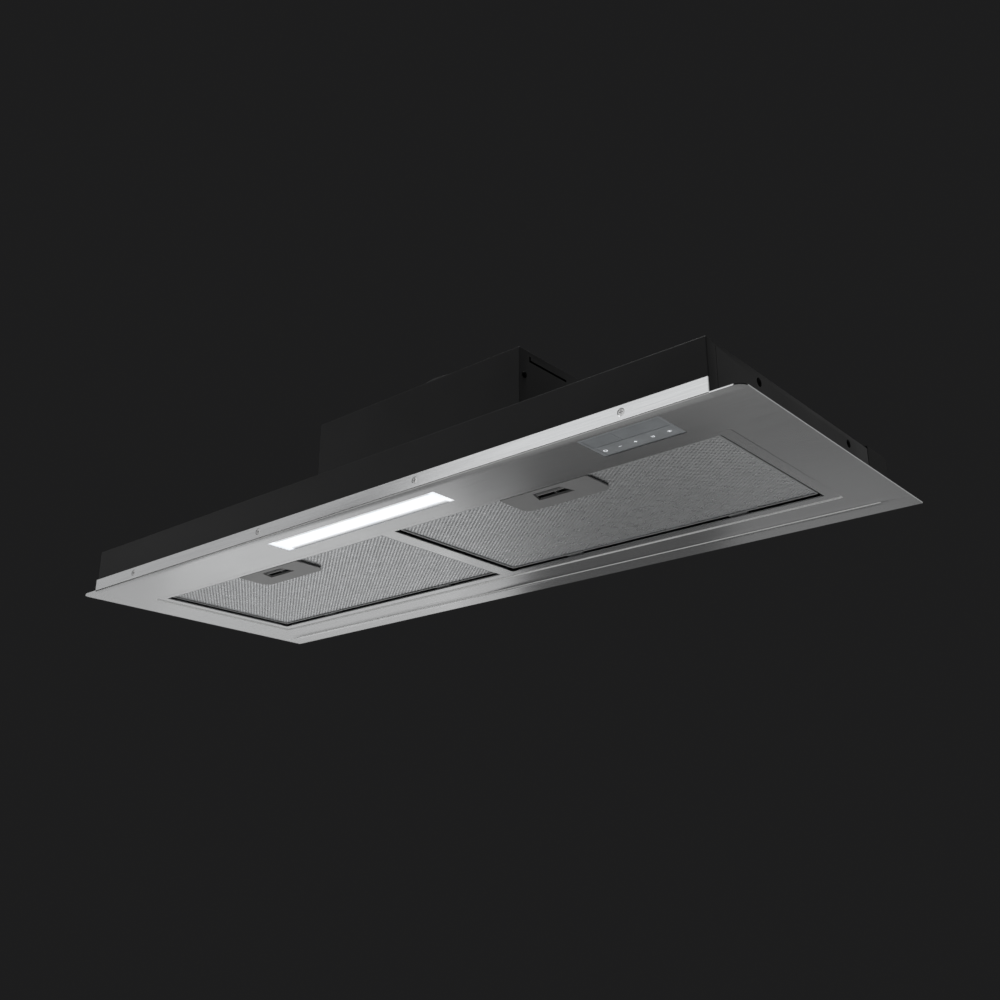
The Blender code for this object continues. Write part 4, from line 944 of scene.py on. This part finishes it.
def bandInto(bm, centre, radius, width, start, end, low, high, steps=18):
    outer = arcPoints(centre, radius + width / 2, start, end, steps)
    inner = arcPoints(centre, radius - width / 2, end, start, steps)
    prism(bm, outer + inner, low, high)


def keyMark(bm, kind, centre, low, high):
    # plain marks for power, less, more, boost and light
    v = controlValues
    x, y, s, w = centre.x, centre.y, v["markSize"], v["markWidth"]
    if kind == "power":
        bandInto(bm, (x, y), s * 0.8, w, 120, 420, low, high)
        strokeInto(bm, (x, y + s * 0.35), (x, y + s * 1.15), w, low, high)
    elif kind == "less":
        strokeInto(bm, (x - s * 0.8, y), (x + s * 0.8, y), w, low, high)
    elif kind == "more":
        outline = crossOutline(s * 0.8, w / 2)
        prism(bm, [(x + a, y + b) for a, b in outline], low, high)
    elif kind == "boost":
        for lift in (-0.45, 0.45):
            tip = (x, y + (lift + 0.5) * s)
            for side in (-1, 1):
                foot = (x + side * s * 0.75, y + (lift - 0.15) * s)
                strokeInto(bm, (x + side * w * 0.28, tip[1]), foot, w * 0.8, low, high)
    else:
        rod(bm, s * 0.42, low, high, (x, y, 0), "Z", 20)
        for i in range(8):
            a = math.pi * i / 4
            strokeInto(bm, (x + s * 0.68 * math.cos(a), y + s * 0.68 * math.sin(a)),
                       (x + s * 1.0 * math.cos(a), y + s * 1.0 * math.sin(a)), w * 0.7, low, high)


def makeKeys():
    v = controlValues
    edges = keyEdges()
    for i, (node, (kind, body, shift)) in enumerate(keyNodes.items()):
        low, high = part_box(node)
        bm = bmesh.new()
        roundedBlock(bm, (edges[i] + v["keyGap"] / 2, low.y + v["lip"]),
                     (edges[i + 1] - v["keyGap"] / 2, high.y - v["lip"]), v["keyCorner"], low.z, high.z)
        softenEdges(bm, v["edge"])
        name = "key" + kind.capitalize()
        key = finishPiece(name, bm, keySilver)
        lip = bmesh.new()
        block(lip, (low.x + 0.4 * mm, low.y, 3.3 * mm), (high.x - 0.4 * mm, high.y, 4.3 * mm))
        boolean(key, lip, "UNION")
        settle(sharpen(key), body, "key_grey", node)
        bm = bmesh.new()
        spot = centreOf(node) + Vector((shift, -0.5 * mm, 0))
        keyMark(bm, kind, spot, low.z - v["markHeight"], low.z + 0.05 * mm)
        settle(finishPiece(name + "Mark", bm, markWhite), body, "light_diffuser")


# each key's mark, the body it rides on, and how far the mark is from the key's middle
keyNodes = {
    "key_power": ("power", "power_key", -2.6 * mm),
    "key_speed_down": ("less", "speed_down_key", -2.8 * mm),
    "key_speed_up": ("more", "speed_up_key", -2.6 * mm), "key_boost": ("boost", "boost_key", -1.0 * mm),
    "key_light": ("light", "light_key", 0.0),
}
makeFascia()
makeKeys()
print("controls made")


filterValues = {
    "sheet": 0.8 * mm, "lip": 2.3 * mm, "innerLip": 3.8 * mm, "edge": 0.35 * mm, "corner": 2.5 * mm,
    "hookWidth": 20 * mm, "hookSpacing": 200 * mm, "hookSheet": 1.2 * mm, "pitch": (5.6 * mm, 4.4 * mm),
    "openX": 0.54, "openY": 0.50, "meshBottom": 0.95 * mm, "slant": 0.08 * mm, "strandHeight": 0.55 * mm,
    "taper": 0.94, "liningUp": 0.58 * mm, "liningFold": 0.06 * mm, "plateRadius": 9 * mm,
    "plateEdge": 1.1 * mm, "pocketFront": 15.5 * mm, "pocketBack": 20.5 * mm, "pocketInset": 5.5 * mm,
    "pocketDepth": 16.6 * mm, "pocketEdge": 0.5 * mm, "cupWall": 1.0 * mm, "cupLength": 27 * mm,
    "barRound": 0.9 * mm, "plateUp": 0.55 * mm, "plateSheet": 1.35 * mm, "skirtIn": 1.3 * mm,
    "skirtFront": 2.7 * mm, "rimUp": 0.3 * mm, "rimDown": 0.12 * mm, "tongue": 12 * mm,
    "tongueRoom": 12.4 * mm, "tongueChamfer": 0.8 * mm, "slideUp": 1.1 * mm, "slideSheet": 1.3 * mm,
    "bossHalf": 5 * mm, "barWidth": 3.4 * mm, "barIn": 3 * mm,
}


def joinRings(bm, rings):
    # faces between each ring of corners and the next, and between the last and the first
    for ring, other in zip(rings, rings[1:] + rings[:1]):
        for i in range(len(ring)):
            j = (i + 1) % len(ring)
            bm.faces.new((ring[i], ring[j], other[j], other[i]))


def sweptRing(bm, low, high, radius, profile):
    # a closed section of (inset, z) pairs carried round a rounded rectangle
    rings = []
    for inset, z in profile:
        r = max(radius - inset, 0.08 * mm)
        outline = roundedOutline((low[0] + inset, low[1] + inset), (high[0] - inset, high[1] - inset),
                                 (r,) * 4, 5)
        rings.append([bm.verts.new((x, y, z)) for x, y in outline])
    joinRings(bm, rings)


def makeFilterFrame(side):
    v = filterValues
    low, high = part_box("filter_frame_" + side)
    centre = (low.x + high.x) / 2
    t, lip, innerLip, edge = v["sheet"], v["lip"], v["innerLip"], v["edge"]
    z0, z1 = low.z, high.z
    section = [(lip, z0 + t), (lip, z0 + 0.15 * mm), (lip - 0.15 * mm, z0), (edge, z0), (0, z0 + edge),
               (0, z1 - edge), (edge, z1), (innerLip, z1), (innerLip, z1 - t), (t, z1 - t), (t, z0 + t)]
    bm = bmesh.new()
    sweptRing(bm, (low.x, low.y), (high.x, filterBack), v["corner"], section)
    rim = finishPiece("filterFrame_" + side, bm, frameAluminium)
    hooks = bmesh.new()
    for way in (-1, 1):
        x = centre + way * v["hookSpacing"] / 2
        outline = roundedOutline((x - v["hookWidth"] / 2, filterBack - 0.5 * mm),
                                 (x + v["hookWidth"] / 2, high.y), (0, 0, 3 * mm, 3 * mm), 4)
        prism(hooks, outline, z0 + 0.02 * mm, z0 + v["hookSheet"])
    boolean(rim, hooks, "UNION")
    cutBlocks(rim, tongueSlot(side, centre, low.y - 1 * mm, low.y + 1.5 * mm))
    settle(sharpen(rim), "filter_" + side, "filter_aluminium", "filter_frame_" + side)
    return centre


def tongueSlot(side, centre, front, back):
    # room for the latch's tongue in the frame's front and the pocket's wall
    v = filterValues
    low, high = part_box("latch_slide_" + side)
    return ((centre - v["tongueRoom"], front, low.z + 2.4 * mm),
            (centre + v["tongueRoom"], back, high.z - 2.9 * mm))


def meshCell():
    # one diamond opening of the expanded sheet, with half of each strand round it
    v = filterValues
    halfX, halfY = v["pitch"][0] / 2, v["pitch"][1] / 2
    bm = bmesh.new()
    outer, inner, deep = [], [], []
    for x, y in ((halfX, 0), (0, halfY), (-halfX, 0), (0, -halfY)):
        lift = v["slant"] * y / halfY
        openX, openY = x * v["openX"], y * v["openY"]
        outer.append(bm.verts.new((x, y, 0)))
        inner.append(bm.verts.new((openX, openY, lift)))
        deep.append(bm.verts.new((openX * v["taper"], openY * v["taper"], lift + v["strandHeight"])))
    for i in range(4):
        j = (i + 1) % 4
        bm.faces.new((outer[i], inner[i], inner[j], outer[j]))
        bm.faces.new((inner[i], deep[i], deep[j], inner[j]))
    bm.normal_update()
    return finishPiece("meshCell", bm, None, recalc=False)


def makeFilterMesh(side, centre, cell):
    v = filterValues
    low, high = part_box("filter_face_" + side)
    inset = 0.25 * mm
    sizeX, sizeY = high.x - low.x, high.y - low.y
    pitchX, pitchY = v["pitch"]
    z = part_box("filter_frame_" + side)[0].z + v["meshBottom"]
    spot = (centre - pitchX / 4, (low.y + high.y) / 2 - pitchY / 4, z)
    values = {"Cell": cell, "Pitch X": pitchX, "Pitch Y": pitchY, "Count X": math.ceil(sizeX / pitchX) + 2,
              "Count Y": math.ceil(sizeY / pitchY) + 2, "Material": meshAluminium}
    mesh = grow("filterMesh_" + side, lattice, values, smoothAngle=None)
    bm = bmesh.new()
    bm.from_mesh(mesh.data)
    bmesh.ops.translate(bm, vec=spot, verts=bm.verts)
    bmesh.ops.remove_doubles(bm, verts=bm.verts, dist=0.05 * mm)
    for place, way in (((low.x + inset, 0, 0), (-1, 0, 0)), ((high.x - inset, 0, 0), (1, 0, 0)),
                       ((0, low.y + inset, 0), (0, -1, 0)), ((0, high.y - inset, 0), (0, 1, 0))):
        bmesh.ops.bisect_plane(bm, geom=bm.verts[:] + bm.edges[:] + bm.faces[:], plane_co=place, plane_no=way,
                               clear_outer=True)
    cup = cupBox(side, centre)
    middles = [(f, f.calc_center_median()) for f in bm.faces]
    inCup = [f for f, at in middles if cup[0] < at.x < cup[1] and at.y < cup[3]]
    bmesh.ops.delete(bm, geom=inCup, context="FACES")
    bm.to_mesh(mesh.data)
    bm.free()
    settle(mesh, "filter_" + side, "mesh_aluminium", "filter_face_" + side)


def makeFilterLining(side, centre):
    # the next layer of sheet behind the openings, in shallow folds. Its dark grey is painted shade seen
    # through the openings
    v = filterValues
    low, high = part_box("filter_face_" + side)
    cup = cupBox(side, centre)
    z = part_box("filter_frame_" + side)[0].z + v["meshBottom"] + v["liningUp"]
    inset = 0.5 * mm
    xs = [low.x + inset, cup[0], cup[1], high.x - inset]
    count = 2 * round((high.y - low.y) / v["pitch"][1])
    ys = [low.y + inset + (high.y - low.y - 2 * inset) * i / count for i in range(count + 1)]
    bm = bmesh.new()
    rows = [[bm.verts.new((x, y, z + v["liningFold"] * (i % 2))) for x in xs] for i, y in enumerate(ys)]
    for a, b in zip(rows, rows[1:]):
        for i in range(3):
            if i != 1 or a[0].co.y > cup[3]:
                bm.faces.new((a[i], b[i], b[i + 1], a[i + 1]))
    lining = finishPiece("filterLining_" + side, bm, liningGrey, recalc=False)
    settle(lining, "filter_" + side, "mesh_aluminium")


def cupBox(side, centre):
    # the left, right, front and back of the cup behind the handle's pocket, coloured near-black as painted
    # shade
    v = filterValues
    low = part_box("filter_handle_" + side)[0]
    front = low.y + v["pocketInset"] - v["cupWall"]
    half = v["pocketBack"] + v["cupWall"]
    return centre - half, centre + half, front, front + v["cupLength"] + 2 * v["cupWall"]


def pocketOutline(centre, front, depth, grow=0.0):
    v = filterValues
    near, far = v["pocketFront"] + grow, v["pocketBack"] + grow
    return [(centre - near, front - grow), (centre + near, front - grow),
            (centre + far, front + depth + grow), (centre - far, front + depth + grow)]


def bevelEdges(bm, atHeight, width, steps):
    # rounds the edges whose two ends are both at the height asked for
    bm.normal_update()
    found = [e for e in bm.edges if all(atHeight(vert.co.z) for vert in e.verts)]
    bmesh.ops.bevel(bm, geom=found, offset=width, segments=steps, affect="EDGES")


def makeHandle(side, centre):
    v = filterValues
    low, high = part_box("filter_handle_" + side)
    plateLow = low.z + v["plateUp"]
    plateTop = plateLow + v["plateSheet"]
    cup = cupBox(side, centre)
    front = low.y + v["pocketInset"]
    radius, skirtIn = v["plateRadius"], v["skirtIn"]
    bm = bmesh.new()
    prism(bm, roundedOutline(low.xy, high.xy, (0.8 * mm, 0.8 * mm, radius, radius), 8), plateLow, plateTop)
    bevelEdges(bm, lambda z: abs(z - plateLow) < 1e-6, v["plateEdge"], 2)
    plate = finishPiece("filterHandle_" + side, bm, handleGrey)
    skirt = bmesh.new()
    outline = roundedOutline((low.x + skirtIn, low.y + v["skirtFront"]), (high.x - skirtIn, high.y - skirtIn),
                             (0.5 * mm, 0.5 * mm, radius - skirtIn, radius - skirtIn), 8)
    prism(skirt, outline, plateTop - 0.2 * mm, plateTop + 0.95 * mm)
    boolean(plate, skirt, "UNION")
    opening = bmesh.new()
    prism(opening, pocketOutline(centre, front, v["pocketDepth"]), low.z - 1 * mm, plateTop + 2 * mm)
    boolean(plate, opening)
    body = "filter_" + side
    settle(sharpen(plate), body, "grey_plastic", "filter_handle_" + side)
    # a thin raised rim round the pocket, and the cup behind it, near-black as painted shade in the pocket
    bm = bmesh.new()
    outer = pocketOutline(centre, front, v["pocketDepth"], v["pocketEdge"])
    inner = pocketOutline(centre, front, v["pocketDepth"], -0.05 * mm)
    top, bottom = plateLow + v["rimUp"], plateLow - v["rimDown"]
    joinRings(bm, [[bm.verts.new((x, y, z)) for x, y in outline]
                   for outline, z in ((outer, top), (outer, bottom), (inner, bottom), (inner, top))])
    settle(finishPiece("pocketRim_" + side, bm, handleGrey), body, "grey_plastic")
    bm = bmesh.new()
    block(bm, (cup[0], cup[2], plateTop - 0.2 * mm), (cup[1], cup[3], high.z))
    softenEdges(bm, 0.8 * mm)
    well = finishPiece("pocketCup_" + side, bm, pocketBlack)
    t = v["cupWall"]
    cutBlocks(well, ((cup[0] + t, cup[2] + t, 0), (cup[1] - t, cup[3] - t, high.z - t)))
    cutBlocks(well, tongueSlot(side, centre, cup[2] - 2 * mm, cup[2] + 2 * t))
    settle(sharpen(well), body, "grey_plastic")


def makeLatch(side, centre):
    # a flat slide with a narrow tongue, and the finger bar that hangs from it. The slide is coloured
    # near-black as painted shade seen in the pocket; the bar keeps the grey
    v = filterValues
    low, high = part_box("latch_slide_" + side)
    z0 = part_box("filter_frame_" + side)[0].z + v["slideUp"]
    half, tongue, cut = (high.x - low.x) / 2, v["tongue"], v["tongueChamfer"]
    slideFront = cupBox(side, centre)[2] + v["cupWall"] + 0.6 * mm
    rightHalf = [(tongue - cut, low.y), (tongue, low.y + cut), (tongue, slideFront),
                 (half, slideFront), (half, high.y)]
    outline = [(centre + x, y) for x, y in rightHalf] + [(centre - x, y) for x, y in reversed(rightHalf)]
    bm = bmesh.new()
    prism(bm, outline, z0, z0 + v["slideSheet"])
    softenEdges(bm, 0.2 * mm, 1)
    slide = finishPiece("latchSlide_" + side, bm, pocketBlack)
    boss = bmesh.new()
    barBack = high.y - v["barIn"]
    block(boss, (centre - v["bossHalf"], barBack, z0 + 0.3 * mm), (centre + v["bossHalf"], high.y, high.z))
    boolean(slide, boss, "UNION")
    body = "latch_" + side
    settle(sharpen(slide), body, "grey_plastic", "latch_slide_" + side)
    barHalf = v["pocketFront"] + 0.4 * (v["pocketBack"] - v["pocketFront"]) - 0.9 * mm
    bm = bmesh.new()
    block(bm, (centre - barHalf, barBack - v["barWidth"], low.z + 0.6 * mm),
          (centre + barHalf, barBack, z0 + 0.2 * mm))
    bevelEdges(bm, lambda z: z < low.z + 0.7 * mm, v["barRound"], 3)
    settle(finishPiece("fingerBar_" + side, bm, handleGrey, 30), body, "grey_plastic")


# near-black for the pocket cup and the latch slide, painted shade inside the handle pockets
pocketBlack = mouldedPlastic("pocketBlack", (0.006, 0.006, 0.006), (0.5, 0.62))
cell = meshCell()
for side in ("right", "left"):
    middle = makeFilterFrame(side)
    makeFilterMesh(side, middle, cell)
    makeFilterLining(side, middle)
    makeHandle(side, middle)
    makeLatch(side, middle)
dropHelper(cell)
print("filters made")


blowerValues = {
    "blades": 38, "bladeSheet": 0.9 * mm, "bladeDepth": 12 * mm, "bladeLean": 0.26, "ring": 2 * mm,
    "ringBand": 6 * mm, "hub": 9 * mm, "shaftHole": 3.3 * mm, "disc": 18 * mm, "fins": 7, "boss": 9 * mm,
}
outletValues = {
    "wall": 1.5 * mm, "pinHole": 1.8 * mm, "pinReach": 80 * mm, "flapNear": 3.2 * mm, "ribHalf": 0.6 * mm,
    "hingeStarts": {"front": (-34 * mm, 10 * mm), "rear": (-21.7 * mm, 22.3 * mm)}, "bead": 0.7 * mm,
    "beadFromTop": 5 * mm, "flange": 8 * mm, "stopWidth": 2 * mm, "flapSheet": 1.2 * mm,
    "knuckle": 2.5 * mm, "knuckleLength": 12 * mm, "ribs": (-28 * mm, 0.0, 28 * mm),
}


def fanBlade(radius, halfWidth):
    v = blowerValues
    inner, outer = radius - v["bladeDepth"], radius - 0.6 * mm
    steps = 6
    bm = bmesh.new()
    rows = []
    for i in range(steps + 1):
        r = inner + (outer - inner) * i / steps
        angle = v["bladeLean"] * (i / steps) ** 1.8
        for half in (-v["bladeSheet"] / 2 / r, v["bladeSheet"] / 2 / r):
            y, z = r * math.cos(angle + half), r * math.sin(angle + half)
            rows.append([bm.verts.new((x, y, z)) for x in (-halfWidth, halfWidth)])
    under, over = rows[0::2], rows[1::2]
    for line in (under, over):
        for a, b in zip(line, line[1:]):
            bm.faces.new((a[0], a[1], b[1], b[0]))
    for end in (0, -1):
        bm.faces.new((under[end][0], under[end][1], over[end][1], over[end][0]))
    return finishPiece("fanBlade", bm, None)


def makeFan():
    v = blowerValues
    low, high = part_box("fan_wheel")
    centre = (low + high) / 2
    radius, half = (high.z - low.z) / 2, (high.x - low.x) / 2
    blade = fanBlade(radius, half - 0.3 * mm)
    values = {"Copy": blade, "Count": v["blades"], "Centre": centre, "Material": innerBlack}
    blades = grow("fanBlades", copiesInRing, values)
    dropHelper(blade)
    settle(blades, "fan", "black_plastic")
    bm = bmesh.new()
    e, inner = 0.4 * mm, radius - v["ringBand"]
    for start in (low.x, high.x - v["ring"]):
        end = start + v["ring"]
        section = [(inner, start + e), (inner + e, start), (radius - e, start), (radius, start + e),
                   (radius, end - e), (radius - e, end), (inner + e, end), (inner, end - e)]
        turned(bm, section, (0, centre.y, centre.z), "X", 72)
    hub, hole, rim = v["hub"], v["shaftHole"], radius - 2 * mm
    disc = [(hole, -6 * mm), (hub - 0.8 * mm, -6 * mm), (hub, -5 * mm), (hub + 1.5 * mm, -2 * mm),
            (v["disc"], -1.2 * mm), (rim, -1.2 * mm), (rim, 1.2 * mm), (v["disc"], 1.2 * mm),
            (hub + 1.5 * mm, 2 * mm), (hub, 10 * mm), (hub - 1 * mm, 12 * mm), (hole, 12 * mm)]
    turned(bm, disc, (0, centre.y, centre.z), "X", 72)
    settle(finishPiece("fanRings", bm, innerBlack, 30), "fan", "black_plastic", "fan_wheel")


def makeMotor():
    v = blowerValues
    low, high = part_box("fan_motor")
    centre = (low + high) / 2
    r, bore, boss = (high.z - low.z) / 2, 3.4 * mm, v["boss"]
    first, last = high.x - 9 * mm, low.x + 21 * mm
    wide = (last - first) / v["fins"]
    body = [(bore, first), (bore, high.x), (r * 0.45, high.x), (r * 0.5, high.x - 0.6 * mm),
            (r - 5 * mm, high.x - 1.0 * mm), (r - 1 * mm, high.x - 3.5 * mm), (r - 0.4 * mm, high.x - 6 * mm)]
    for i in range(v["fins"]):
        x = first + wide * i
        body += [(r, x), (r, x + wide * 0.45), (r - 1.6 * mm, x + wide * 0.5), (r - 1.6 * mm, x + wide * 0.95)]
    body += [(r - 0.4 * mm, last), (r - 1 * mm, low.x + 15 * mm), (r - 5 * mm, low.x + 12.4 * mm),
             (boss, low.x + 12 * mm), (boss, low.x), (0, low.x)]
    bm = bmesh.new()
    turned(bm, body, (0, centre.y, centre.z), "X", 64)
    settle(finishPiece("fanMotor", bm, motorMetal, 30), "hood", "motor_steel", "fan_motor")


def pinCutter():
    v = outletValues
    bm = bmesh.new()
    rod(bm, v["pinHole"], -v["pinReach"], v["pinReach"], tuple(centreOf("damper_pin")), "X", 20)
    return bm


def makeCollar():
    v = outletValues
    low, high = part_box("outlet_collar")
    centre = (low + high) / 2
    outer = (high.x - low.x) / 2 - v["flange"]
    inner = outer - v["wall"]
    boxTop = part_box("motor_box")[1].z
    seat, stop = boxTop + 0.3 * mm, boxTop + 2.2 * mm
    beadTop = high.z - v["beadFromTop"]
    e, b = 0.35 * mm, v["bead"]
    outside, flange, flangeTop, fillet = outer - b, outer + v["flange"], seat + v["wall"], 1.2 * mm
    profile = [(inner, low.z), (outside, low.z), (outside, seat), (flange, seat), (flange, flangeTop - e),
               (flange - e, flangeTop), (outside + fillet, flangeTop), (outside, flangeTop + fillet),
               (outside, beadTop - 2 * b), (outer, beadTop - b * 0.6), (outer, beadTop + b * 0.6),
               (outside, beadTop + 2 * b), (outside, high.z - e), (outside - e, high.z), (inner + e, high.z),
               (inner, high.z - e), (inner, stop + 1.2 * mm), (inner - v["stopWidth"], stop + 1.0 * mm),
               (inner - v["stopWidth"], stop), (inner, stop)]
    bm = bmesh.new()
    turned(bm, profile, (centre.x, centre.y, 0), "Z", 96)
    collar = finishPiece("outletCollar", bm, collarBlack)
    boolean(collar, pinCutter())
    settle(sharpen(collar), "hood", "black_plastic", "outlet_collar")


def makeFlaps():
    v = outletValues
    pin = centreOf("damper_pin")
    for name, side in (("front", -1), ("rear", 1)):
        starts = v["hingeStarts"][name]
        low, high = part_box("damper_flap_" + name)
        radius = (high.x - low.x) / 2
        sweep = math.degrees(math.acos(v["flapNear"] / radius))
        rim = arcPoints((0, 0), radius, sweep, -sweep, 36)
        z0 = pin.z - 1 * mm - v["flapSheet"] / 2
        bm = bmesh.new()
        prism(bm, [(across, pin.y + side * along) for along, across in rim], z0, z0 + v["flapSheet"])
        softenEdges(bm, 0.25 * mm, 1, 60)
        flap = finishPiece("damperFlap_" + name, bm, collarBlack)
        ribs = bmesh.new()
        for x in v["ribs"]:
            reach = math.sqrt(radius ** 2 - x ** 2) - 7 * mm
            ends = sorted((pin.y + side * 6 * mm, pin.y + side * reach))
            block(ribs, (x - v["ribHalf"], ends[0], z0 + 0.6 * mm),
                  (x + v["ribHalf"], ends[1], z0 + v["flapSheet"] + 0.7 * mm))
        boolean(flap, ribs, "UNION")
        knuckles = bmesh.new()
        for start in starts:
            rod(knuckles, v["knuckle"], start, start + v["knuckleLength"], (0, pin.y, pin.z), "X", 24)
        boolean(flap, knuckles, "UNION")
        tabs = bmesh.new()
        ends = sorted((pin.y + side * 1.9 * mm, pin.y + side * 5 * mm))
        inset = 0.1 * mm
        for start in starts:
            block(tabs, (start + inset, ends[0], z0 + inset),
                  (start + v["knuckleLength"] - inset, ends[1], z0 + v["flapSheet"] - inset))
        boolean(flap, tabs, "UNION")
        boolean(flap, pinCutter())
        settle(sharpen(flap), "damper_" + name, "black_plastic", "damper_flap_" + name)


glandValues = {"bore": 4.5 * mm, "radius": 8 * mm, "nutRadius": 11.9 * mm}


def makeGland():
    v = glandValues
    low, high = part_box("cable_gland")
    centre = (low + high) / 2
    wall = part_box("motor_box")[0].x
    bore, r = v["bore"], v["radius"]
    bm = bmesh.new()
    dome = [(bore, low.x), (r - 1.8 * mm, low.x), (r - 0.8 * mm, low.x + 0.6 * mm),
            (r - 0.2 * mm, low.x + 2.2 * mm), (r, wall - 5 * mm), (r, wall - 0.3 * mm), (r, wall + 4 * mm),
            (r - 0.6 * mm, wall + 4.6 * mm), (r, wall + 5.2 * mm), (r, high.x - 0.6 * mm),
            (r - 0.6 * mm, high.x), (bore, high.x)]
    turned(bm, dome, (0, centre.y, centre.z), "X", 40)
    gland = finishPiece("cableGland", bm, collarBlack)
    for start, length in ((wall - 5.4 * mm, 5.1 * mm), (wall + 1.3 * mm, 4.2 * mm)):
        nut = bmesh.new()
        outline = arcPoints((centre.y, centre.z), v["nutRadius"], 0, 360, 6)[:-1]
        prism(nut, outline, start, start + length, place=lambda a, b, h: (h, a, b))
        softenEdges(nut, 0.4 * mm, 2, 20)
        boolean(gland, nut, "UNION")
    hole = bmesh.new()
    rod(hole, bore, -0.2, -0.1, (0, centre.y, centre.z), "X", 32)
    boolean(gland, hole)
    settle(sharpen(gland), "hood", "black_plastic", "cable_gland")


makeFan()
makeMotor()
makeCollar()
makeFlaps()
makeGland()
print("blower and outlet made")


partMaterials = {
    "control_board": boardGreen, "control_housing": innerBlack, "damper_pin": zincSheet,
    "electronics_lid": innerBlack, "electronics_tray": innerBlack, "filter_pack_left": packAluminium,
    "filter_pack_right": packAluminium, "inlet_ring_left": collarBlack, "inlet_ring_right": collarBlack,
    "latch_spring_left": wireMetal, "latch_spring_right": wireMetal, "led_board": boardWhite,
    "led_driver": innerBlack, "light_housing": zincSheet, "motor_bracket": zincSheet,
    "motor_shaft": wireMetal, "outlet_duct": innerBlack, "power_board": boardGreen,
    "run_capacitor": creamPlastic, "scroll_left": innerBlack, "scroll_right": innerBlack,
    "terminal_block": creamPlastic,
}
for name, material in partMaterials.items():
    node = bpy.data.objects[name]
    for slot in node.material_slots:
        slot.material = material


stageValues = {"cameraAt": (0.8042, -0.8569, -0.3687), "turn": 40.564, "tilt": 20.202, "lens": 41.06,
               "floorZ": -1.35, "floorRadius": 2.6, "lightDistance": 6.0, "world": (0.0125, 0.0125, 0.0128)}
# each light's bearing from the back towards the left, its rise, its width and height, and its brightness
studioLights = {
    "backLeft": (59.0, -14, 4.25, 1.6, 0.6), "backLeftStrip": (51.5, -19.5, 1.8, 0.8, 0.40),
    "back": (29, -16, 3.0, 1.6, 0.10), "backRight": (13, -16, 2.6, 1.6, 0.18),
    "frontLeft": (153, 21, 3.2, 3.0, 1.2), "left": (120, 17, 3.0, 3.0, 0.68),
    "rightHigh": (-31, 23, 4.2, 2.6, 0.48), "top": (0, 88, 4.0, 4.0, 5.0),
}


def makeCamera():
    v = stageValues
    camera = bpy.data.objects.new("camera", bpy.data.cameras.new("camera"))
    camera.location = v["cameraAt"]
    camera.rotation_euler = (math.radians(90 + v["tilt"]), 0, math.radians(v["turn"]))
    camera.data.lens = v["lens"]
    camera.data.sensor_width = 36
    camera.data.clip_start = 0.02
    bpy.context.scene.collection.objects.link(camera)
    bpy.context.scene.camera = camera


def makeFloor():
    v = stageValues
    bm = bmesh.new()
    bmesh.ops.create_circle(bm, cap_ends=True, segments=96, radius=v["floorRadius"])
    bmesh.ops.translate(bm, vec=(0, 0, v["floorZ"]), verts=bm.verts)
    floor = finishPiece("floor", bm, paleFloor)


def makeLights():
    for name, (bearing, rise, width, height, brightness) in studioLights.items():
        data = bpy.data.lights.new(name, "AREA")
        data.shape = "RECTANGLE"
        data.size, data.size_y = width, height
        data.energy = brightness * math.pi * width * height
        a, e = math.radians(bearing), math.radians(rise)
        away = Vector((-math.sin(a) * math.cos(e), math.cos(a) * math.cos(e), math.sin(e)))
        place = stageValues["lightDistance"] * away
        lamp = bpy.data.objects.new(name, data)
        lamp.location = place
        lamp.rotation_euler = (-place).to_track_quat("-Z", "Y").to_euler()
        lamp.visible_camera = False
        bpy.context.scene.collection.objects.link(lamp)


paleFloor = mouldedPlastic("paleFloor", (0.80, 0.80, 0.79), (0.6, 0.75), 60, 0.012)
makeCamera()
makeFloor()
makeLights()
world = bpy.data.worlds.new("studio")
world.use_nodes = True
world.node_tree.nodes["Background"].inputs["Color"].default_value = (*stageValues["world"], 1)
world.node_tree.nodes["Background"].inputs["Strength"].default_value = 1.0
bpy.context.scene.world = world
bpy.context.scene.view_settings.view_transform = "Standard"
print("studio made")
